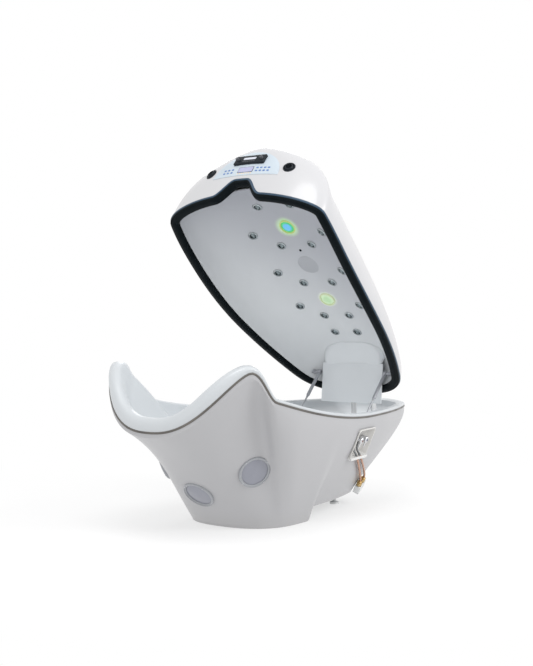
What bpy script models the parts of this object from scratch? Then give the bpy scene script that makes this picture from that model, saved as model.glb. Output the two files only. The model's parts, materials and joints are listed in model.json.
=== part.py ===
"""Spa capsule: a boat-shaped wet bed under a domed lid that hinges at the foot end on two gas struts.

Metres, +Z up. The head end is at -X, the foot end at +X, and the floor is Z = 0.
The lid is modelled closed and turned open about its hinge by the empty that carries it.
"""

import math

import bmesh
import bpy
import numpy as np
from mathutils import Matrix, Vector
from mathutils.bvhtree import BVHTree

for thing in list(bpy.data.objects):
    bpy.data.objects.remove(thing, do_unlink=True)
PARTS = bpy.data.collections.new("spa_capsule")
CUTTERS = bpy.data.collections.new("spa_capsule_cutters")
bpy.context.scene.collection.children.link(PARTS)
bpy.context.scene.collection.children.link(CUTTERS)

# Clearance between pieces that touch or run on each other
FIT = 0.0003

# Plan of the rim
LENGTH = 2.20
HEAD_X = -0.5 * LENGTH
FOOT_X = 0.5 * LENGTH
WIDEST_X = -0.38
HALF_WIDTH = 0.50
TAIL_TAPER = 0.68
TAIL_POWER = 2.4
TAIL_ROUND = 0.25
HEAD_POWER = 3.0
HEAD_ROOT = 2.5

# Heights of the rim: low along the sides, a wing on each shoulder, a dip for the head
RIM_LOW = 0.525
RIM_LOW_X = 0.15
SHOULDER_X = HEAD_X + 0.333
SHOULDER_RISE = 0.13
WING_X = HEAD_X + 0.221
WING_TOP = 0.789
WING_FLANK = 0.135
HEAD_DIP = 0.512
DIP_POWER = 1.5

# Outer shell of the base and the bead along its edge
SHELL_WALL = 0.010
TRIM_RADIUS = 0.005
EDGE_GAP = TRIM_RADIUS + FIT
EDGE_DROP = 0.020
BOTTOM_HEAD_X = HEAD_X + 0.54
BOTTOM_MID_X = -0.25
BOTTOM_TAIL_X = FOOT_X - 0.58
BOTTOM_HALF = 0.29
BOTTOM_TAIL_TAPER = 0.45
BOTTOM_TAIL_ROUND = 0.25
TOE_KICK = 0.07
TOE_KICK_X = -0.17
TOE_KICK_RUN = 0.06
WALL_DROP = 0.10
WALL_FLARE = 0.30
TUCK_X = HEAD_X + 0.52
TUCK_RUN = 0.34
TUCK_IN = 0.52
TUCK_DOWN = 0.30
TUCK_FLARE = 0.33

# Lip, walls and floor of the tub; the lip swells to a head roll
TUB_WALL = 0.006
ROLL_HEIGHT = 0.065
ROLL_WIDTH = 0.078
ROLL_X = HEAD_X + 0.32
ROLL_RUN = 0.25
ROLL_WIDE_X = HEAD_X + 0.40
ROLL_WIDE_RUN = 0.16
LIP_HEIGHT = 0.018
LIP_WIDTH = 0.050
LIP_PROFILE = ((0.0, 0.0), (-0.05, 0.5), (0.1, 0.86), (0.4, 1.0), (0.72, 0.9), (0.96, 0.5))
BED_Z = 0.27
NECK_Z = 0.44
NECK_X = HEAD_X + 0.68
NECK_RUN = 0.30
DECK_Z = 0.42
DECK_X = FOOT_X - 0.44
DECK_RUN = 0.14
WALL_START = 0.02
WALL_INSET = 1.05
WALL_LEAN = 0.05
WALL_TUCK = 0.014
WALL_TUCK_X = HEAD_X + 0.52
WALL_TUCK_RUN = 0.12
BED_ROUND = 0.03
BED_STEPS = (0.16, 0.4, 1.0)
TUB_SPINE_HEAD_X = HEAD_X + 0.18
TUB_SPINE_FOOT_X = FOOT_X - 0.20

# Lid, as it lies when closed
LID_OPEN = math.radians(35.4)
HINGE_X = FOOT_X - 0.236
HINGE_Z = 0.6245
LID_GAP = 0.029
LID_HEAD_START = HEAD_X + 0.436
LID_HEAD_DEPTH = 0.14
LID_MIDDLE_X = 0.0
LID_TAIL_START = HINGE_X - 0.244
LID_TAIL_DEPTH = 0.21
LID_HEAD_RISE = 0.046
LID_RISE_X = HEAD_X + 0.385
LID_RISE_RUN = 0.27
NOTCH_HEIGHT = 0.095
NOTCH_HALF_TOP = 0.039
NOTCH_HALF_FOOT = 0.149
LID_WALL = 0.007
LINER_WALL = 0.005
SEAL_WIDTH = 0.050
SEAL_HEIGHT = 0.026
SEAL_SEAT = 0.0024
SEAL_PROFILE = ((0.0, 0.0), (1.0, 0.0), (1.0, 0.5), (0.8, 1.0), (0.2, 1.0), (0.0, 0.5))
CROWN_HEAD = (HEAD_X + 0.358, 1.088)
CROWN_TAIL = (HINGE_X - 0.314, 0.85)
LINER_CROWN_HEAD = (HEAD_X + 0.68, 0.905)
LINER_CROWN_TAIL = (HINGE_X - 0.364, 0.775)
LID_SQUARE = 1.9
LID_HEAD_SQUARE = 2.45
LINER_SQUARE = 2.4
FRONT_BLEND = 0.08

# Mood lamps in the head end of the hull
MOOD_RING = 0.082
MOOD_RING_DEEP = 0.030
MOOD_RING_PROUD = 0.008
MOOD_LENS = 0.060
MOOD_LENS_DEEP = 0.020
MOOD_LENS_RISE = 0.006
LENS_SHOULDER = 0.7
MOOD_SIDE_TURN = math.radians(37.0)
MOOD_SIDE_X = HEAD_X + 0.451
MOOD_SIDE_Y = 0.278
MOOD_SIDE_Z = 0.303
MOOD_HEAD_Z = 0.180
RING_CHAMFER = 0.003

# Valve pocket in the side of the hull
POCKET_X = 0.085
POCKET_Z = 0.385
POCKET_WIDE = 0.200
POCKET_TALL = 0.170
POCKET_DEEP = 0.040
POCKET_WALL = 0.004
BAR_RADIUS = 0.011
BAR_UP = 0.020
VALVE_SPREAD = 0.060
BOSS_RADIUS = 0.009
HANDLE_RADIUS = 0.018
HANDLE_LONG = 0.016
HANDLE_CHAMFER = 0.004
HANDLE_SINK = 0.006
LEVER_LONG = 0.034
LEVER_THICK = 0.008
LEVER_REACH = 0.022

# Supply pipes from the valves down to the water inlet, their run as x and z on the hull
SUPPLY_RADIUS = 0.006
SUPPLY_STARTS = (-0.040, 0.0)
SUPPLY_RUN = ((0.092, 0.277), (0.190, 0.243), (0.290, 0.207), (0.372, 0.174), (0.392, 0.142))
SUPPLY_SPLIT = 0.019
SUPPLY_CLEAR_NEAR = 0.012
SUPPLY_CLEAR_FAR = 0.020
SUPPLY_BEND = 0.045
LEDGE_BACK = 0.023
LEDGE_PAST = 0.007
LEDGE_OVER = 0.017
NUT_RADIUS = 0.016
NUT_LONG = 0.024
NUT_SIDES = 6
STUB_LONG = 0.030
INLET_WIDE = 0.074
INLET_LONG = 0.056
INLET_THICK = 0.034
INLET_BACK = 0.003

# Chassis under the bed
RAIL = 0.040
RAIL_Y = 0.110
RAIL_TOP_Z = 0.115
RAIL_HEAD_X = -0.47
RAIL_TAIL_X = 0.40
PLATE_THICK = 0.012
POST = 0.030
POST_XS = (-0.20, 0.12)
LEG = 0.036
LEG_XS = (-0.45, -0.26)
SOLE_X = -0.355
SOLE_LONG = 0.24
SOLE_THICK = 0.006
WELD = 0.001
FEET_X = 0.35
PAD_RADIUS = 0.026
PAD_THICK = 0.010
PAD_TOP = 0.018
STEM_RADIUS = 0.009
STEM_TOP = 0.100
STEM_ROOM = 0.002

# Machinery on the chassis
PUMP_X = -0.33
PUMP_RADIUS = 0.055
PUMP_MOTOR_RADIUS = 0.042
PUMP_HEAD_LONG = 0.060
PUMP_MOTOR_LONG = 0.110
PUMP_TAPER = 0.010
BOILER_X = -0.04
BOILER_RADIUS = 0.055
BOILER_LONG = 0.20
BOILER_DISH = 0.012
SADDLE_LONG = 0.05
SADDLE_WIDE = 0.07
SADDLE_TALL = 0.030
TANK_LIFT = 0.002
BOX_X = 0.22
BOX_SIZE = (0.13, 0.14, 0.09)
DRAIN_X = 0.38
DRAIN_RADIUS = 0.030
DRAIN_NECK = 0.018
DRAIN_NECK_LONG = 0.030
DRAIN_FLANGE = 0.003
DRAIN_RISE = 0.002
DRAIN_PIPE_RADIUS = 0.016
DRAIN_PIPE_Z = 0.14
DRAIN_PIPE_END_X = 0.44

# Spray bars behind the lid's liner: nozzles as share of the way from head end to hinge, and half spacing
NOZZLE_RADIUS = 0.023
NOZZLE_STEM = 0.010
NOZZLE_LIFT = 0.003
NOZZLE_FLANGE = 0.002
NOZZLE_TIP = 0.004
NOZZLE_TIP_RADIUS = 0.012
SPRAY_PIPE_RADIUS = 0.009
SPRAY_PIPE_BACK = 0.020
SPRAY_OVERRUN = 0.030
INNER_NOZZLES = ((0.303, 0.103), (0.454, 0.099), (0.604, 0.095), (0.743, 0.084), (0.816, 0.076))
OUTER_NOZZLES = ((0.398, 0.224), (0.550, 0.212), (0.693, 0.200))

# Lamps and heater disc along the crown of the liner, at shares of the same way
LED_SHARES = (0.390, 0.674)
LED_RING = 0.045
LED_RING_DEEP = 0.020
LED_RING_PROUD = 0.006
LED_LENS = 0.031
LED_LENS_DEEP = 0.015
LED_LENS_RISE = 0.004
HEATER_SHARE = 0.534
HEATER_RADIUS = 0.065
HEATER_DEEP = 0.012
HEATER_PROUD = 0.001
HEATER_RISE = 0.001

# Control panel, radio and face vents on the head wall of the lid
PANEL_HALF = 0.205
PANEL_LOW_Z = 0.850
PANEL_TALL = 0.170
PANEL_HUB = 0.050
PANEL_SUNK = 0.003
PANEL_PROUD = 0.002
PANEL_CLEAR = 0.016
PANEL_ARC = 16
PANEL_BASE = 8
SCREEN_HALF = 0.045
SCREEN_TALL = 0.034
SCREEN_Z = 0.888
SCREEN_STEPS = 3
SCREEN_LIFT = 0.0005
SCREEN_THICK = 0.0015
RADIO_Z = 0.956
RADIO_WIDE = 0.190
RADIO_TALL = 0.060
RADIO_DEEP = 0.060
RADIO_PROUD = 0.012
KNOB_RADIUS = 0.011
KNOB_LONG = 0.012
KNOB_TAPER = 0.9
KNOB_INSET = 0.020
MARK_LONG = 0.006
MARK_THICK = 0.002
VENT_Y = 0.247
VENT_Z = 0.904
VENT_RING = 0.033
VENT_RING_DEEP = 0.020
VENT_RING_PROUD = 0.006
VENT_BALL = 0.0255
VENT_SINK = 0.006
VENT_MOUTH = 0.013
VENT_MOUTH_DEEP = 0.0095
VENT_ARC = 10

# Hinge at the foot end and the board that closes the lid's foot, its edges as x and z
PIN_RADIUS = 0.008
PIN_HEAD_RADIUS = 0.013
PIN_HEAD = 0.006
LUG_Y = 0.068
LUG_THICK = 0.012
LUG_LONG = 0.046
LUG_SOLE_LONG = 0.056
LUG_SOLE_WIDE = 0.034
LUG_SOLE_SHIFT = 0.008
LUG_SOLE_THICK = 0.006
ARM_THICK = 0.010
ARM_TALL = 0.040
ARM_OVER = 0.020
ARM_SLOT_CLEAR = 0.001
ARM_SLOT_X = HINGE_X - 0.054
ARM_SLOT_LONG = 0.14
TIE = 0.018
TIE_BACK = 0.022
BOARD_LOW = (HINGE_X - 0.074, HINGE_Z - 0.1545)
BOARD_HIGH = (HINGE_X - 0.1914, HINGE_Z + 0.0475)
BOARD_CLEAR = 0.009
BOARD_THICK = 0.008

# Gas struts: pivots as x and z, the upper one with the lid open
STRUT_LOW = (HINGE_X - 0.362, HINGE_Z - 0.1345)
STRUT_TOP = (HINGE_X - 0.140, HINGE_Z + 0.0925)
STRUT_TUBE_LENGTH = 0.19
STRUT_TUBE_RADIUS = 0.010
STRUT_TUBE_END = 0.012
STRUT_NOSE_RADIUS = 0.007
STRUT_ROD_LENGTH = 0.20
STRUT_ROD_RADIUS = 0.005
EYE_RADIUS = 0.014
EYE_WIDTH = 0.021
EYE_BITE = 0.003
STUD_RADIUS = 0.006
STUD_TIP = 0.004
POST_RADIUS = 0.009
BRACKET_LONG = 0.060
BRACKET_TALL = 0.030
BRACKET_THICK = 0.006
BRACKET_CLEAR = 0.0029
BRACKET_ROOM = 0.05
BUTTON_PAD = 0.022
BUTTON_PAD_THICK = 0.012
BUTTON_RADIUS = 0.010
BUTTON_CLEAR = 0.0015
BUTTON_ROOM = 0.0415

# Facets, and how lines are cast on skins
STATIONS = 28
LID_STATIONS = 27
SHELL_ROWS = 6
TUB_ROWS = 3
LID_ROWS = 6
RIM_PULL = 0.6
LID_PULL = 0.7
RIM_SAMPLES = 800
HALVINGS = 30
TURN_STEPS = 16
SMALL_TURN_STEPS = 8
TUBE_STEPS = 2
MERGE = 0.0001
THROUGH = 0.12
CAST = 2.0
HAIR = 0.002
STEEP = 0.9

# Looks: colour, metallic, roughness
HULL = ((0.80, 0.79, 0.83), 0.0, 0.25)
WHITE = ((0.90, 0.91, 0.93), 0.0, 0.2)
GREY = ((0.70, 0.70, 0.72), 0.0, 0.45)
BRONZE = ((0.30, 0.20, 0.14), 0.6, 0.35)
BLACK = ((0.02, 0.025, 0.03), 0.0, 0.55)
CHROME = ((0.75, 0.76, 0.78), 1.0, 0.12)
STEEL = ((0.35, 0.36, 0.38), 0.8, 0.4)
COPPER = ((0.60, 0.30, 0.17), 1.0, 0.3)
BRASS = ((0.62, 0.46, 0.18), 1.0, 0.3)
LILAC = ((0.55, 0.55, 0.68), 0.0, 0.2)
BLUE = ((0.70, 0.80, 0.90), 0.0, 0.35)

SIDES = (("left", 1.0), ("right", -1.0))
ALONG_X = Matrix.Rotation(math.radians(90.0), 4, "Y")
STANDING = Matrix.Rotation(math.radians(90.0), 4, "X")


def smooth(value):
    """Eased step from 0 to 1."""
    value = min(1.0, max(0.0, value))
    return value * value * (3.0 - 2.0 * value)


def half_width(x):
    """Half width of the rim's plan."""
    if x >= WIDEST_X:
        run = (x - WIDEST_X) / (FOOT_X - WIDEST_X)
        over = max(0.0, x - FOOT_X + TAIL_ROUND) / TAIL_ROUND
        taper = 1.0 - TAIL_TAPER * run ** TAIL_POWER
        return HALF_WIDTH * taper * math.sqrt(max(0.0, 1.0 - over * over))
    run = min(1.0, (WIDEST_X - x) / (WIDEST_X - HEAD_X))
    return HALF_WIDTH * (1.0 - run ** HEAD_POWER) ** (1.0 / HEAD_ROOT)


def sheer(x):
    """Height of the rim without its wings."""
    run = max(0.0, RIM_LOW_X - x) / (RIM_LOW_X - SHOULDER_X)
    return RIM_LOW + SHOULDER_RISE * run * run


def rim_height(x):
    if x < WING_X:
        run = (WING_X - x) / (WING_X - HEAD_X)
        return WING_TOP - (WING_TOP - HEAD_DIP) * run ** DIP_POWER
    wing = 0.5 + 0.5 * math.cos(math.pi * min(1.0, (x - WING_X) / WING_FLANK))
    return sheer(x) * (1.0 - wing) + WING_TOP * wing


def half_loop(head_x, middle_x, foot_x, width_at, height_at, count, pull):
    """Near half of a rim from the foot end to the head end, its points closer where it turns."""
    dense = []
    for step in range(RIM_SAMPLES + 1):
        turn = math.cos(math.pi * step / RIM_SAMPLES)
        x = middle_x + turn * ((foot_x - middle_x) if turn > 0 else (middle_x - head_x))
        dense.append((x, -width_at(x), height_at(x)))
    points = np.array(dense)
    legs = np.diff(points, axis=0)
    lengths = np.linalg.norm(legs, axis=1)
    headings = legs / np.maximum(lengths, 1e-9)[:, None]
    bends = np.arccos(np.clip((headings[1:] * headings[:-1]).sum(axis=1), -1.0, 1.0))
    cost = lengths / lengths.sum()
    cost[1:] += pull * bends / bends.sum()
    place = np.concatenate([[0.0], np.cumsum(cost)])
    marks = np.linspace(0.0, place[-1], count + 1)
    return np.column_stack([np.interp(marks, place, points[:, axis]) for axis in range(3)])


def full_loop(half):
    """Closed rim from its near half."""
    far = half[-2:0:-1] * np.array([1.0, -1.0, 1.0])
    return np.vstack([half, far])


def outward(loop):
    """Level unit vectors square to a rim, pointing away from it."""
    along = np.roll(loop, -1, axis=0) - np.roll(loop, 1, axis=0)
    sideways = np.column_stack([-along[:, 1], along[:, 0], np.zeros(len(loop))])
    return sideways / np.linalg.norm(sideways, axis=1)[:, None]


def upright(loop):
    """Unit vectors square to a rim that stand as upright as it lets them."""
    along = np.roll(loop, -1, axis=0) - np.roll(loop, 1, axis=0)
    along /= np.linalg.norm(along, axis=1)[:, None]
    square = np.cross(along, outward(loop))
    return square * np.sign(square[:, 2])[:, None]


def bottom_point(x):
    """Where the wall under a rim point at x meets the bottom edge: x, half width and height."""
    if x >= WIDEST_X:
        run = (x - WIDEST_X) / (FOOT_X - WIDEST_X)
        over = max(0.0, run - 1.0 + BOTTOM_TAIL_ROUND) / BOTTOM_TAIL_ROUND
        along = BOTTOM_MID_X + (BOTTOM_TAIL_X - BOTTOM_MID_X) * run
        half = BOTTOM_HALF * (1.0 - BOTTOM_TAIL_TAPER * run * run) * math.sqrt(1.0 - over * over)
    else:
        run = (WIDEST_X - x) / (WIDEST_X - HEAD_X)
        along = BOTTOM_MID_X - (BOTTOM_MID_X - BOTTOM_HEAD_X) * run
        half = BOTTOM_HALF * (1.0 - run ** HEAD_POWER) ** (1.0 / HEAD_ROOT)
    return along, half, TOE_KICK * smooth((along - TOE_KICK_X) / TOE_KICK_RUN + 0.5)


def wall_point(rim_point, t):
    """Point on the hull under a rim point: t = 0 below the trim bead, t = 1 at the bottom edge."""
    along, half, low = bottom_point(rim_point[0])
    top = rim_point - np.array([0.0, 0.0, EDGE_GAP + EDGE_DROP])
    foot = np.array([along, math.copysign(half, rim_point[1]), low])
    tuck = smooth((TUCK_X - rim_point[0]) / TUCK_RUN)
    hang = top - np.array([0.0, 0.0, WALL_DROP + rim_point[2] - RIM_LOW])
    hang += (top + (foot - top) * np.array([TUCK_IN, TUCK_IN, TUCK_DOWN]) - hang) * tuck
    lean = foot + (top - foot) * (WALL_FLARE + (TUCK_FLARE - WALL_FLARE) * tuck)
    rest = 1.0 - t
    return rest ** 3 * top + 3 * t * rest ** 2 * hang + 3 * t * t * rest * lean + t ** 3 * foot


def shell_rings(loop, rows):
    """Outer skin of the base from just under the trim bead down to the floor."""
    edge = loop - upright(loop) * EDGE_GAP
    walls = [np.array([wall_point(point, row / rows) for point in loop]) for row in range(rows + 1)]
    return [edge, *walls]


def floor_height(x):
    """Height of the bed's floor: raised under the neck and at the deck behind the feet."""
    neck = (NECK_Z - BED_Z) * smooth((NECK_X - x) / NECK_RUN)
    deck = (DECK_Z - BED_Z) * smooth((x - DECK_X + DECK_RUN) / DECK_RUN)
    return BED_Z + neck + deck


def floor_reach(rim_point):
    """How far down the hull, as t, the tub's wall goes before it rounds into the floor."""
    low, high = 0.0, 1.0
    for _ in range(HALVINGS):
        middle = 0.5 * (low + high)
        point = wall_point(rim_point, middle)
        if point[2] > floor_height(point[0]) + BED_ROUND:
            low = middle
        else:
            high = middle
    return low


def tub_rings(loop, rows):
    """Inner skin of the base: lip over the rim, walls, then the bed drawn in to its centre line."""
    out = outward(loop)
    stand = upright(loop)
    fat = np.array([smooth((ROLL_X - x) / ROLL_RUN) for x in loop[:, 0]])
    tall = LIP_HEIGHT + (ROLL_HEIGHT - LIP_HEIGHT) * fat
    spread = np.array([smooth((ROLL_WIDE_X - x) / ROLL_WIDE_RUN) for x in loop[:, 0]])
    wide = LIP_WIDTH + (ROLL_WIDTH - LIP_WIDTH) * spread
    rings = []
    for inward, lift in LIP_PROFILE:
        rings.append(loop - out * (inward * wide)[:, None] + stand * (EDGE_GAP + lift * tall)[:, None])
    tuck = np.array([WALL_TUCK * smooth((WALL_TUCK_X - x) / WALL_TUCK_RUN) for x in loop[:, 0]])
    inset = WALL_INSET * wide + tuck
    edge = loop - out * inset[:, None]
    edge[:, 2] -= WALL_START
    rings.append(edge)
    reach = [floor_reach(point) for point in loop]
    for row in range(1, rows + 1):
        part = row / rows
        ring = np.array([wall_point(point, end * part) for point, end in zip(loop, reach)])
        rings.append(ring - out * (inset + WALL_LEAN * part)[:, None])
    brink = rings[-1]
    share = (loop[:, 0] - HEAD_X) / (FOOT_X - HEAD_X)
    spine = np.zeros_like(loop)
    spine[:, 0] = TUB_SPINE_HEAD_X + (TUB_SPINE_FOOT_X - TUB_SPINE_HEAD_X) * share
    for inward in BED_STEPS:
        ring = brink + (spine - brink) * inward
        ring[:, 2] = [floor_height(x) for x in ring[:, 0]]
        rings.append(ring)
    return rings


def lid_half_width(x):
    """Half width of the lid's plan, rounded off at both ends inside the rim's plan."""
    head = max(0.0, LID_HEAD_START - x) / LID_HEAD_DEPTH
    tail = max(0.0, x - LID_TAIL_START) / LID_TAIL_DEPTH
    rounding = math.sqrt(max(0.0, 1.0 - head * head)) * max(0.0, 1.0 - tail ** 3) ** (1.0 / 3.0)
    return half_width(x) * rounding


def lid_x(share):
    """x at a share of the way from the head end to the hinge."""
    return HEAD_X + (HINGE_X - HEAD_X) * share


def lid_edge_height(x):
    """Height of the lid's edge over the rim, without the neck notch."""
    rise = LID_HEAD_RISE * smooth((LID_RISE_X - x) / LID_RISE_RUN)
    return sheer(x) + LID_GAP + SEAL_HEIGHT + rise


def lid_rim_height(x):
    if x >= LID_HEAD_START:
        return lid_edge_height(x)
    slope = (NOTCH_HALF_FOOT - lid_half_width(x)) / (NOTCH_HALF_FOOT - NOTCH_HALF_TOP)
    return lid_edge_height(x) + NOTCH_HEIGHT * smooth(slope)


def dome_rings(loop, plan, rows, crown_head, crown_tail, square, head_square):
    """A dome over the lid's rim, drawn in from the plan to a crown line between two points (x, z).

    The notch leaves out the foot of the head wall, so the wall itself keeps its shape."""
    low = np.array([lid_edge_height(x) for x in loop[:, 0]])
    head_x = loop[:, 0].min()
    share = (loop[:, 0] - head_x) / (loop[:, 0].max() - head_x)
    crown_x = crown_head[0] + (crown_tail[0] - crown_head[0]) * share
    crown_z = crown_head[1] + (crown_tail[1] - crown_head[1]) * share
    front = [smooth((LID_HEAD_START + FRONT_BLEND - x) / (2 * FRONT_BLEND)) for x in loop[:, 0]]
    power = square + (head_square - square) * np.array(front)
    lifts = np.clip((loop[:, 2] - low) / (crown_z - low), 0.0, 1.0)
    starts = np.arcsin(lifts ** (power / 2.0))
    rings = []
    for row in range(rows + 1):
        turn = starts + (0.5 * math.pi - starts) * row / rows
        inward = 1.0 - np.maximum(np.cos(turn), 0.0) ** (2.0 / power)
        up = np.sin(turn) ** (2.0 / power)
        rings.append(np.column_stack([plan[:, 0] + (crown_x - plan[:, 0]) * inward,
                                      plan[:, 1] * (1.0 - inward), low + (crown_z - low) * up]))
    return rings


def ring_faces(rows, count, wrap):
    """Quads between closed rings of points; wrap also joins the last ring to the first."""
    faces = []
    for row in range(rows if wrap else rows - 1):
        over = (row + 1) % rows
        for i in range(count):
            j = (i + 1) % count
            faces.append((row * count + i, row * count + j, over * count + j, over * count + i))
    return faces


def add(name, mesh, place=None):
    """Object for a mesh, put in the scene at a place."""
    thing = bpy.data.objects.new(name, mesh)
    bpy.context.scene.collection.objects.link(thing)
    if place is not None:
        thing.matrix_world = place
    return thing


def lay_rings(name, rings, collapse=False, wrap=False):
    """Lofted skin over closed rings of points; collapse welds a last ring that meets itself."""
    mesh = bpy.data.meshes.new(name)
    mesh.from_pydata(np.vstack(rings).tolist(), [], ring_faces(len(rings), len(rings[0]), wrap))
    if collapse or wrap:
        work = bmesh.new()
        work.from_mesh(mesh)
        if collapse:
            bmesh.ops.remove_doubles(work, verts=work.verts, dist=MERGE)
        else:
            bmesh.ops.recalc_face_normals(work, faces=work.faces)
        work.to_mesh(mesh)
        work.free()
    mesh.shade_smooth()
    return add(name, mesh)


def skin_of(rings):
    """Lofted skin that lines can be cast on, to seat fittings."""
    faces = ring_faces(len(rings), len(rings[0]), False)
    return BVHTree.FromPolygons(np.vstack(rings).tolist(), faces)


def thicken(thing, wall, offset):
    solid = thing.modifiers.new("Solidify", "SOLIDIFY")
    solid.thickness = wall
    solid.offset = offset
    solid.use_rim = True


def combine(thing, others, operation):
    """Boolean the others into or out of a part; they stay as wires in the cutters' collection."""
    for other in others:
        step = thing.modifiers.new(operation.title(), "BOOLEAN")
        step.operation = operation
        step.solver = "EXACT"
        step.object = other
        move_to(other, CUTTERS)
        other.hide_render = True
        other.display_type = "WIRE"


def move_to(thing, collection):
    for home in list(thing.users_collection):
        home.objects.unlink(thing)
    collection.objects.link(thing)


def hang_on_lid(thing):
    """Carry a piece that is modelled in the closed lid's frame on the hinge's empty."""
    thing.parent = lid_pivot
    thing.matrix_parent_inverse = Matrix.Translation((-HINGE_X, 0.0, -HINGE_Z))
    return thing


def keep(thing, look, on_lid=False):
    """Give a finished sub-part its material and put it in the object's collection."""
    colour, metallic, roughness = look
    material = bpy.data.materials.new(thing.name)
    material.use_nodes = True
    shader = material.node_tree.nodes["Principled BSDF"]
    shader.inputs["Base Color"].default_value = (*colour, 1.0)
    shader.inputs["Metallic"].default_value = metallic
    shader.inputs["Roughness"].default_value = roughness
    thing.data.materials.append(material)
    move_to(thing, PARTS)
    if on_lid:
        hang_on_lid(thing)
    return thing


def lathe(name, profile, place, segments=TURN_STEPS):
    """Solid turned about local Z from (radius, height) pairs, bottom to top.

    A profile that starts off the axis is closed into a ring."""
    points = [(radius, 0.0, height) for radius, height in reversed(profile)]
    edges = [(i, i + 1) for i in range(len(points) - 1)]
    if profile[0][0] > 0.0:
        edges.append((len(points) - 1, 0))
    mesh = bpy.data.meshes.new(name)
    mesh.from_pydata(points, edges, [])
    turned = add(name, mesh, place)
    screw = turned.modifiers.new("Screw", "SCREW")
    screw.axis = "Z"
    screw.angle = math.tau
    screw.steps = segments
    screw.render_steps = segments
    screw.use_merge_vertices = True
    screw.merge_threshold = MERGE
    screw.use_smooth_shade = True
    return turned


def cylinder(name, radius, low, high, place, segments=TURN_STEPS):
    return lathe(name, ((0.0, low), (radius, low), (radius, high), (0.0, high)), place, segments)


def plug(name, radius, place, segments=TURN_STEPS):
    """Round cutter for a hole through a skin, square to it."""
    return cylinder(name, radius, -0.5 * THROUGH, 0.5 * THROUGH, place, segments)


def ring_plug(name, outer, inner, deep, proud, place):
    """Bezel let into a skin, its outer edge chamfered."""
    profile = ((inner, -deep), (outer, -deep), (outer, proud - RING_CHAMFER), (outer - RING_CHAMFER, proud),
               (inner, proud))
    return lathe(name, profile, place)


def lens(name, radius, deep, rise, place):
    """Round lens with a shallow domed face."""
    profile = ((0.0, -deep), (radius, -deep), (radius, 0.0),
               (LENS_SHOULDER * radius, LENS_SHOULDER * rise), (0.0, rise))
    return lathe(name, profile, place)


def block(name, size, place):
    mesh = bpy.data.meshes.new(name)
    work = bmesh.new()
    bmesh.ops.create_cube(work, size=1.0, matrix=Matrix.Diagonal((*size, 1.0)))
    work.to_mesh(mesh)
    work.free()
    return add(name, mesh, place)


def meshed(thing):
    """Mesh object from a curve, its caps welded."""
    bpy.context.view_layer.update()
    evaluated = thing.evaluated_get(bpy.context.evaluated_depsgraph_get())
    mesh = bpy.data.meshes.new_from_object(evaluated)
    work = bmesh.new()
    work.from_mesh(mesh)
    bmesh.ops.remove_doubles(work, verts=work.verts, dist=MERGE)
    bmesh.ops.recalc_face_normals(work, faces=work.faces)
    work.to_mesh(mesh)
    work.free()
    mesh.shade_smooth()
    name = thing.name
    place = thing.matrix_world.copy()
    bpy.data.objects.remove(thing, do_unlink=True)
    return add(name, mesh, place)


def tube(name, path, radius, closed=False):
    """Round tube along a path."""
    curve = bpy.data.curves.new(name, "CURVE")
    curve.dimensions = "3D"
    curve.bevel_depth = radius
    curve.bevel_resolution = TUBE_STEPS
    curve.use_fill_caps = True
    spline = curve.splines.new("POLY")
    spline.points.add(len(path) - 1)
    spline.use_cyclic_u = closed
    for spot, point in zip(spline.points, path):
        spot.co = (*point, 1.0)
    return meshed(add(name, curve))


def plate(name, outline, thick, place):
    """Flat plate cut to an outline in local x and y, half its thickness to either side."""
    curve = bpy.data.curves.new(name, "CURVE")
    curve.dimensions = "2D"
    curve.fill_mode = "BOTH"
    curve.extrude = 0.5 * thick
    spline = curve.splines.new("POLY")
    spline.points.add(len(outline) - 1)
    spline.use_cyclic_u = True
    for spot, (x, y) in zip(spline.points, outline):
        spot.co = (x, y, 0.0, 1.0)
    return meshed(add(name, curve, place))


def corner_cut(points):
    """Path through a few points with its corners cut once, its ends kept."""
    path = [np.array(point, float) for point in points]
    cut = [path[0]]
    for first, second in zip(path[:-1], path[1:]):
        cut += [0.75 * first + 0.25 * second, 0.25 * first + 0.75 * second]
    return cut + [path[-1]]


def touch(skin, start, heading):
    """Point and normal where a line meets a skin, averaged over a hair's breadth so no seam is missed.

    The normal faces back along the line."""
    heading = Vector(heading).normalized()
    hair = Vector((HAIR, 0.0, 0.0)) if abs(heading.y) > STEEP else Vector((0.0, HAIR, 0.0))
    points, normals = [], []
    for offset in (-hair, hair):
        point, normal, _, _ = skin.ray_cast(Vector(start) + offset, heading)
        points.append(point)
        normals.append(-normal if normal.dot(heading) > 0.0 else normal)
    return 0.5 * (points[0] + points[1]), (normals[0] + normals[1]).normalized()


def frame_along(axis):
    """Rotation whose Z runs along the axis and whose X stays as level as it can."""
    z = Vector(axis).normalized()
    side = Vector((0.0, 1.0, 0.0)) if abs(z.z) > STEEP else Vector((0.0, 0.0, 1.0)).cross(z)
    y = z.cross(side).normalized()
    return Matrix((y.cross(z), y, z)).transposed().to_4x4()


def seat(point, normal):
    return Matrix.Translation(point) @ frame_along(normal)


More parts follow.
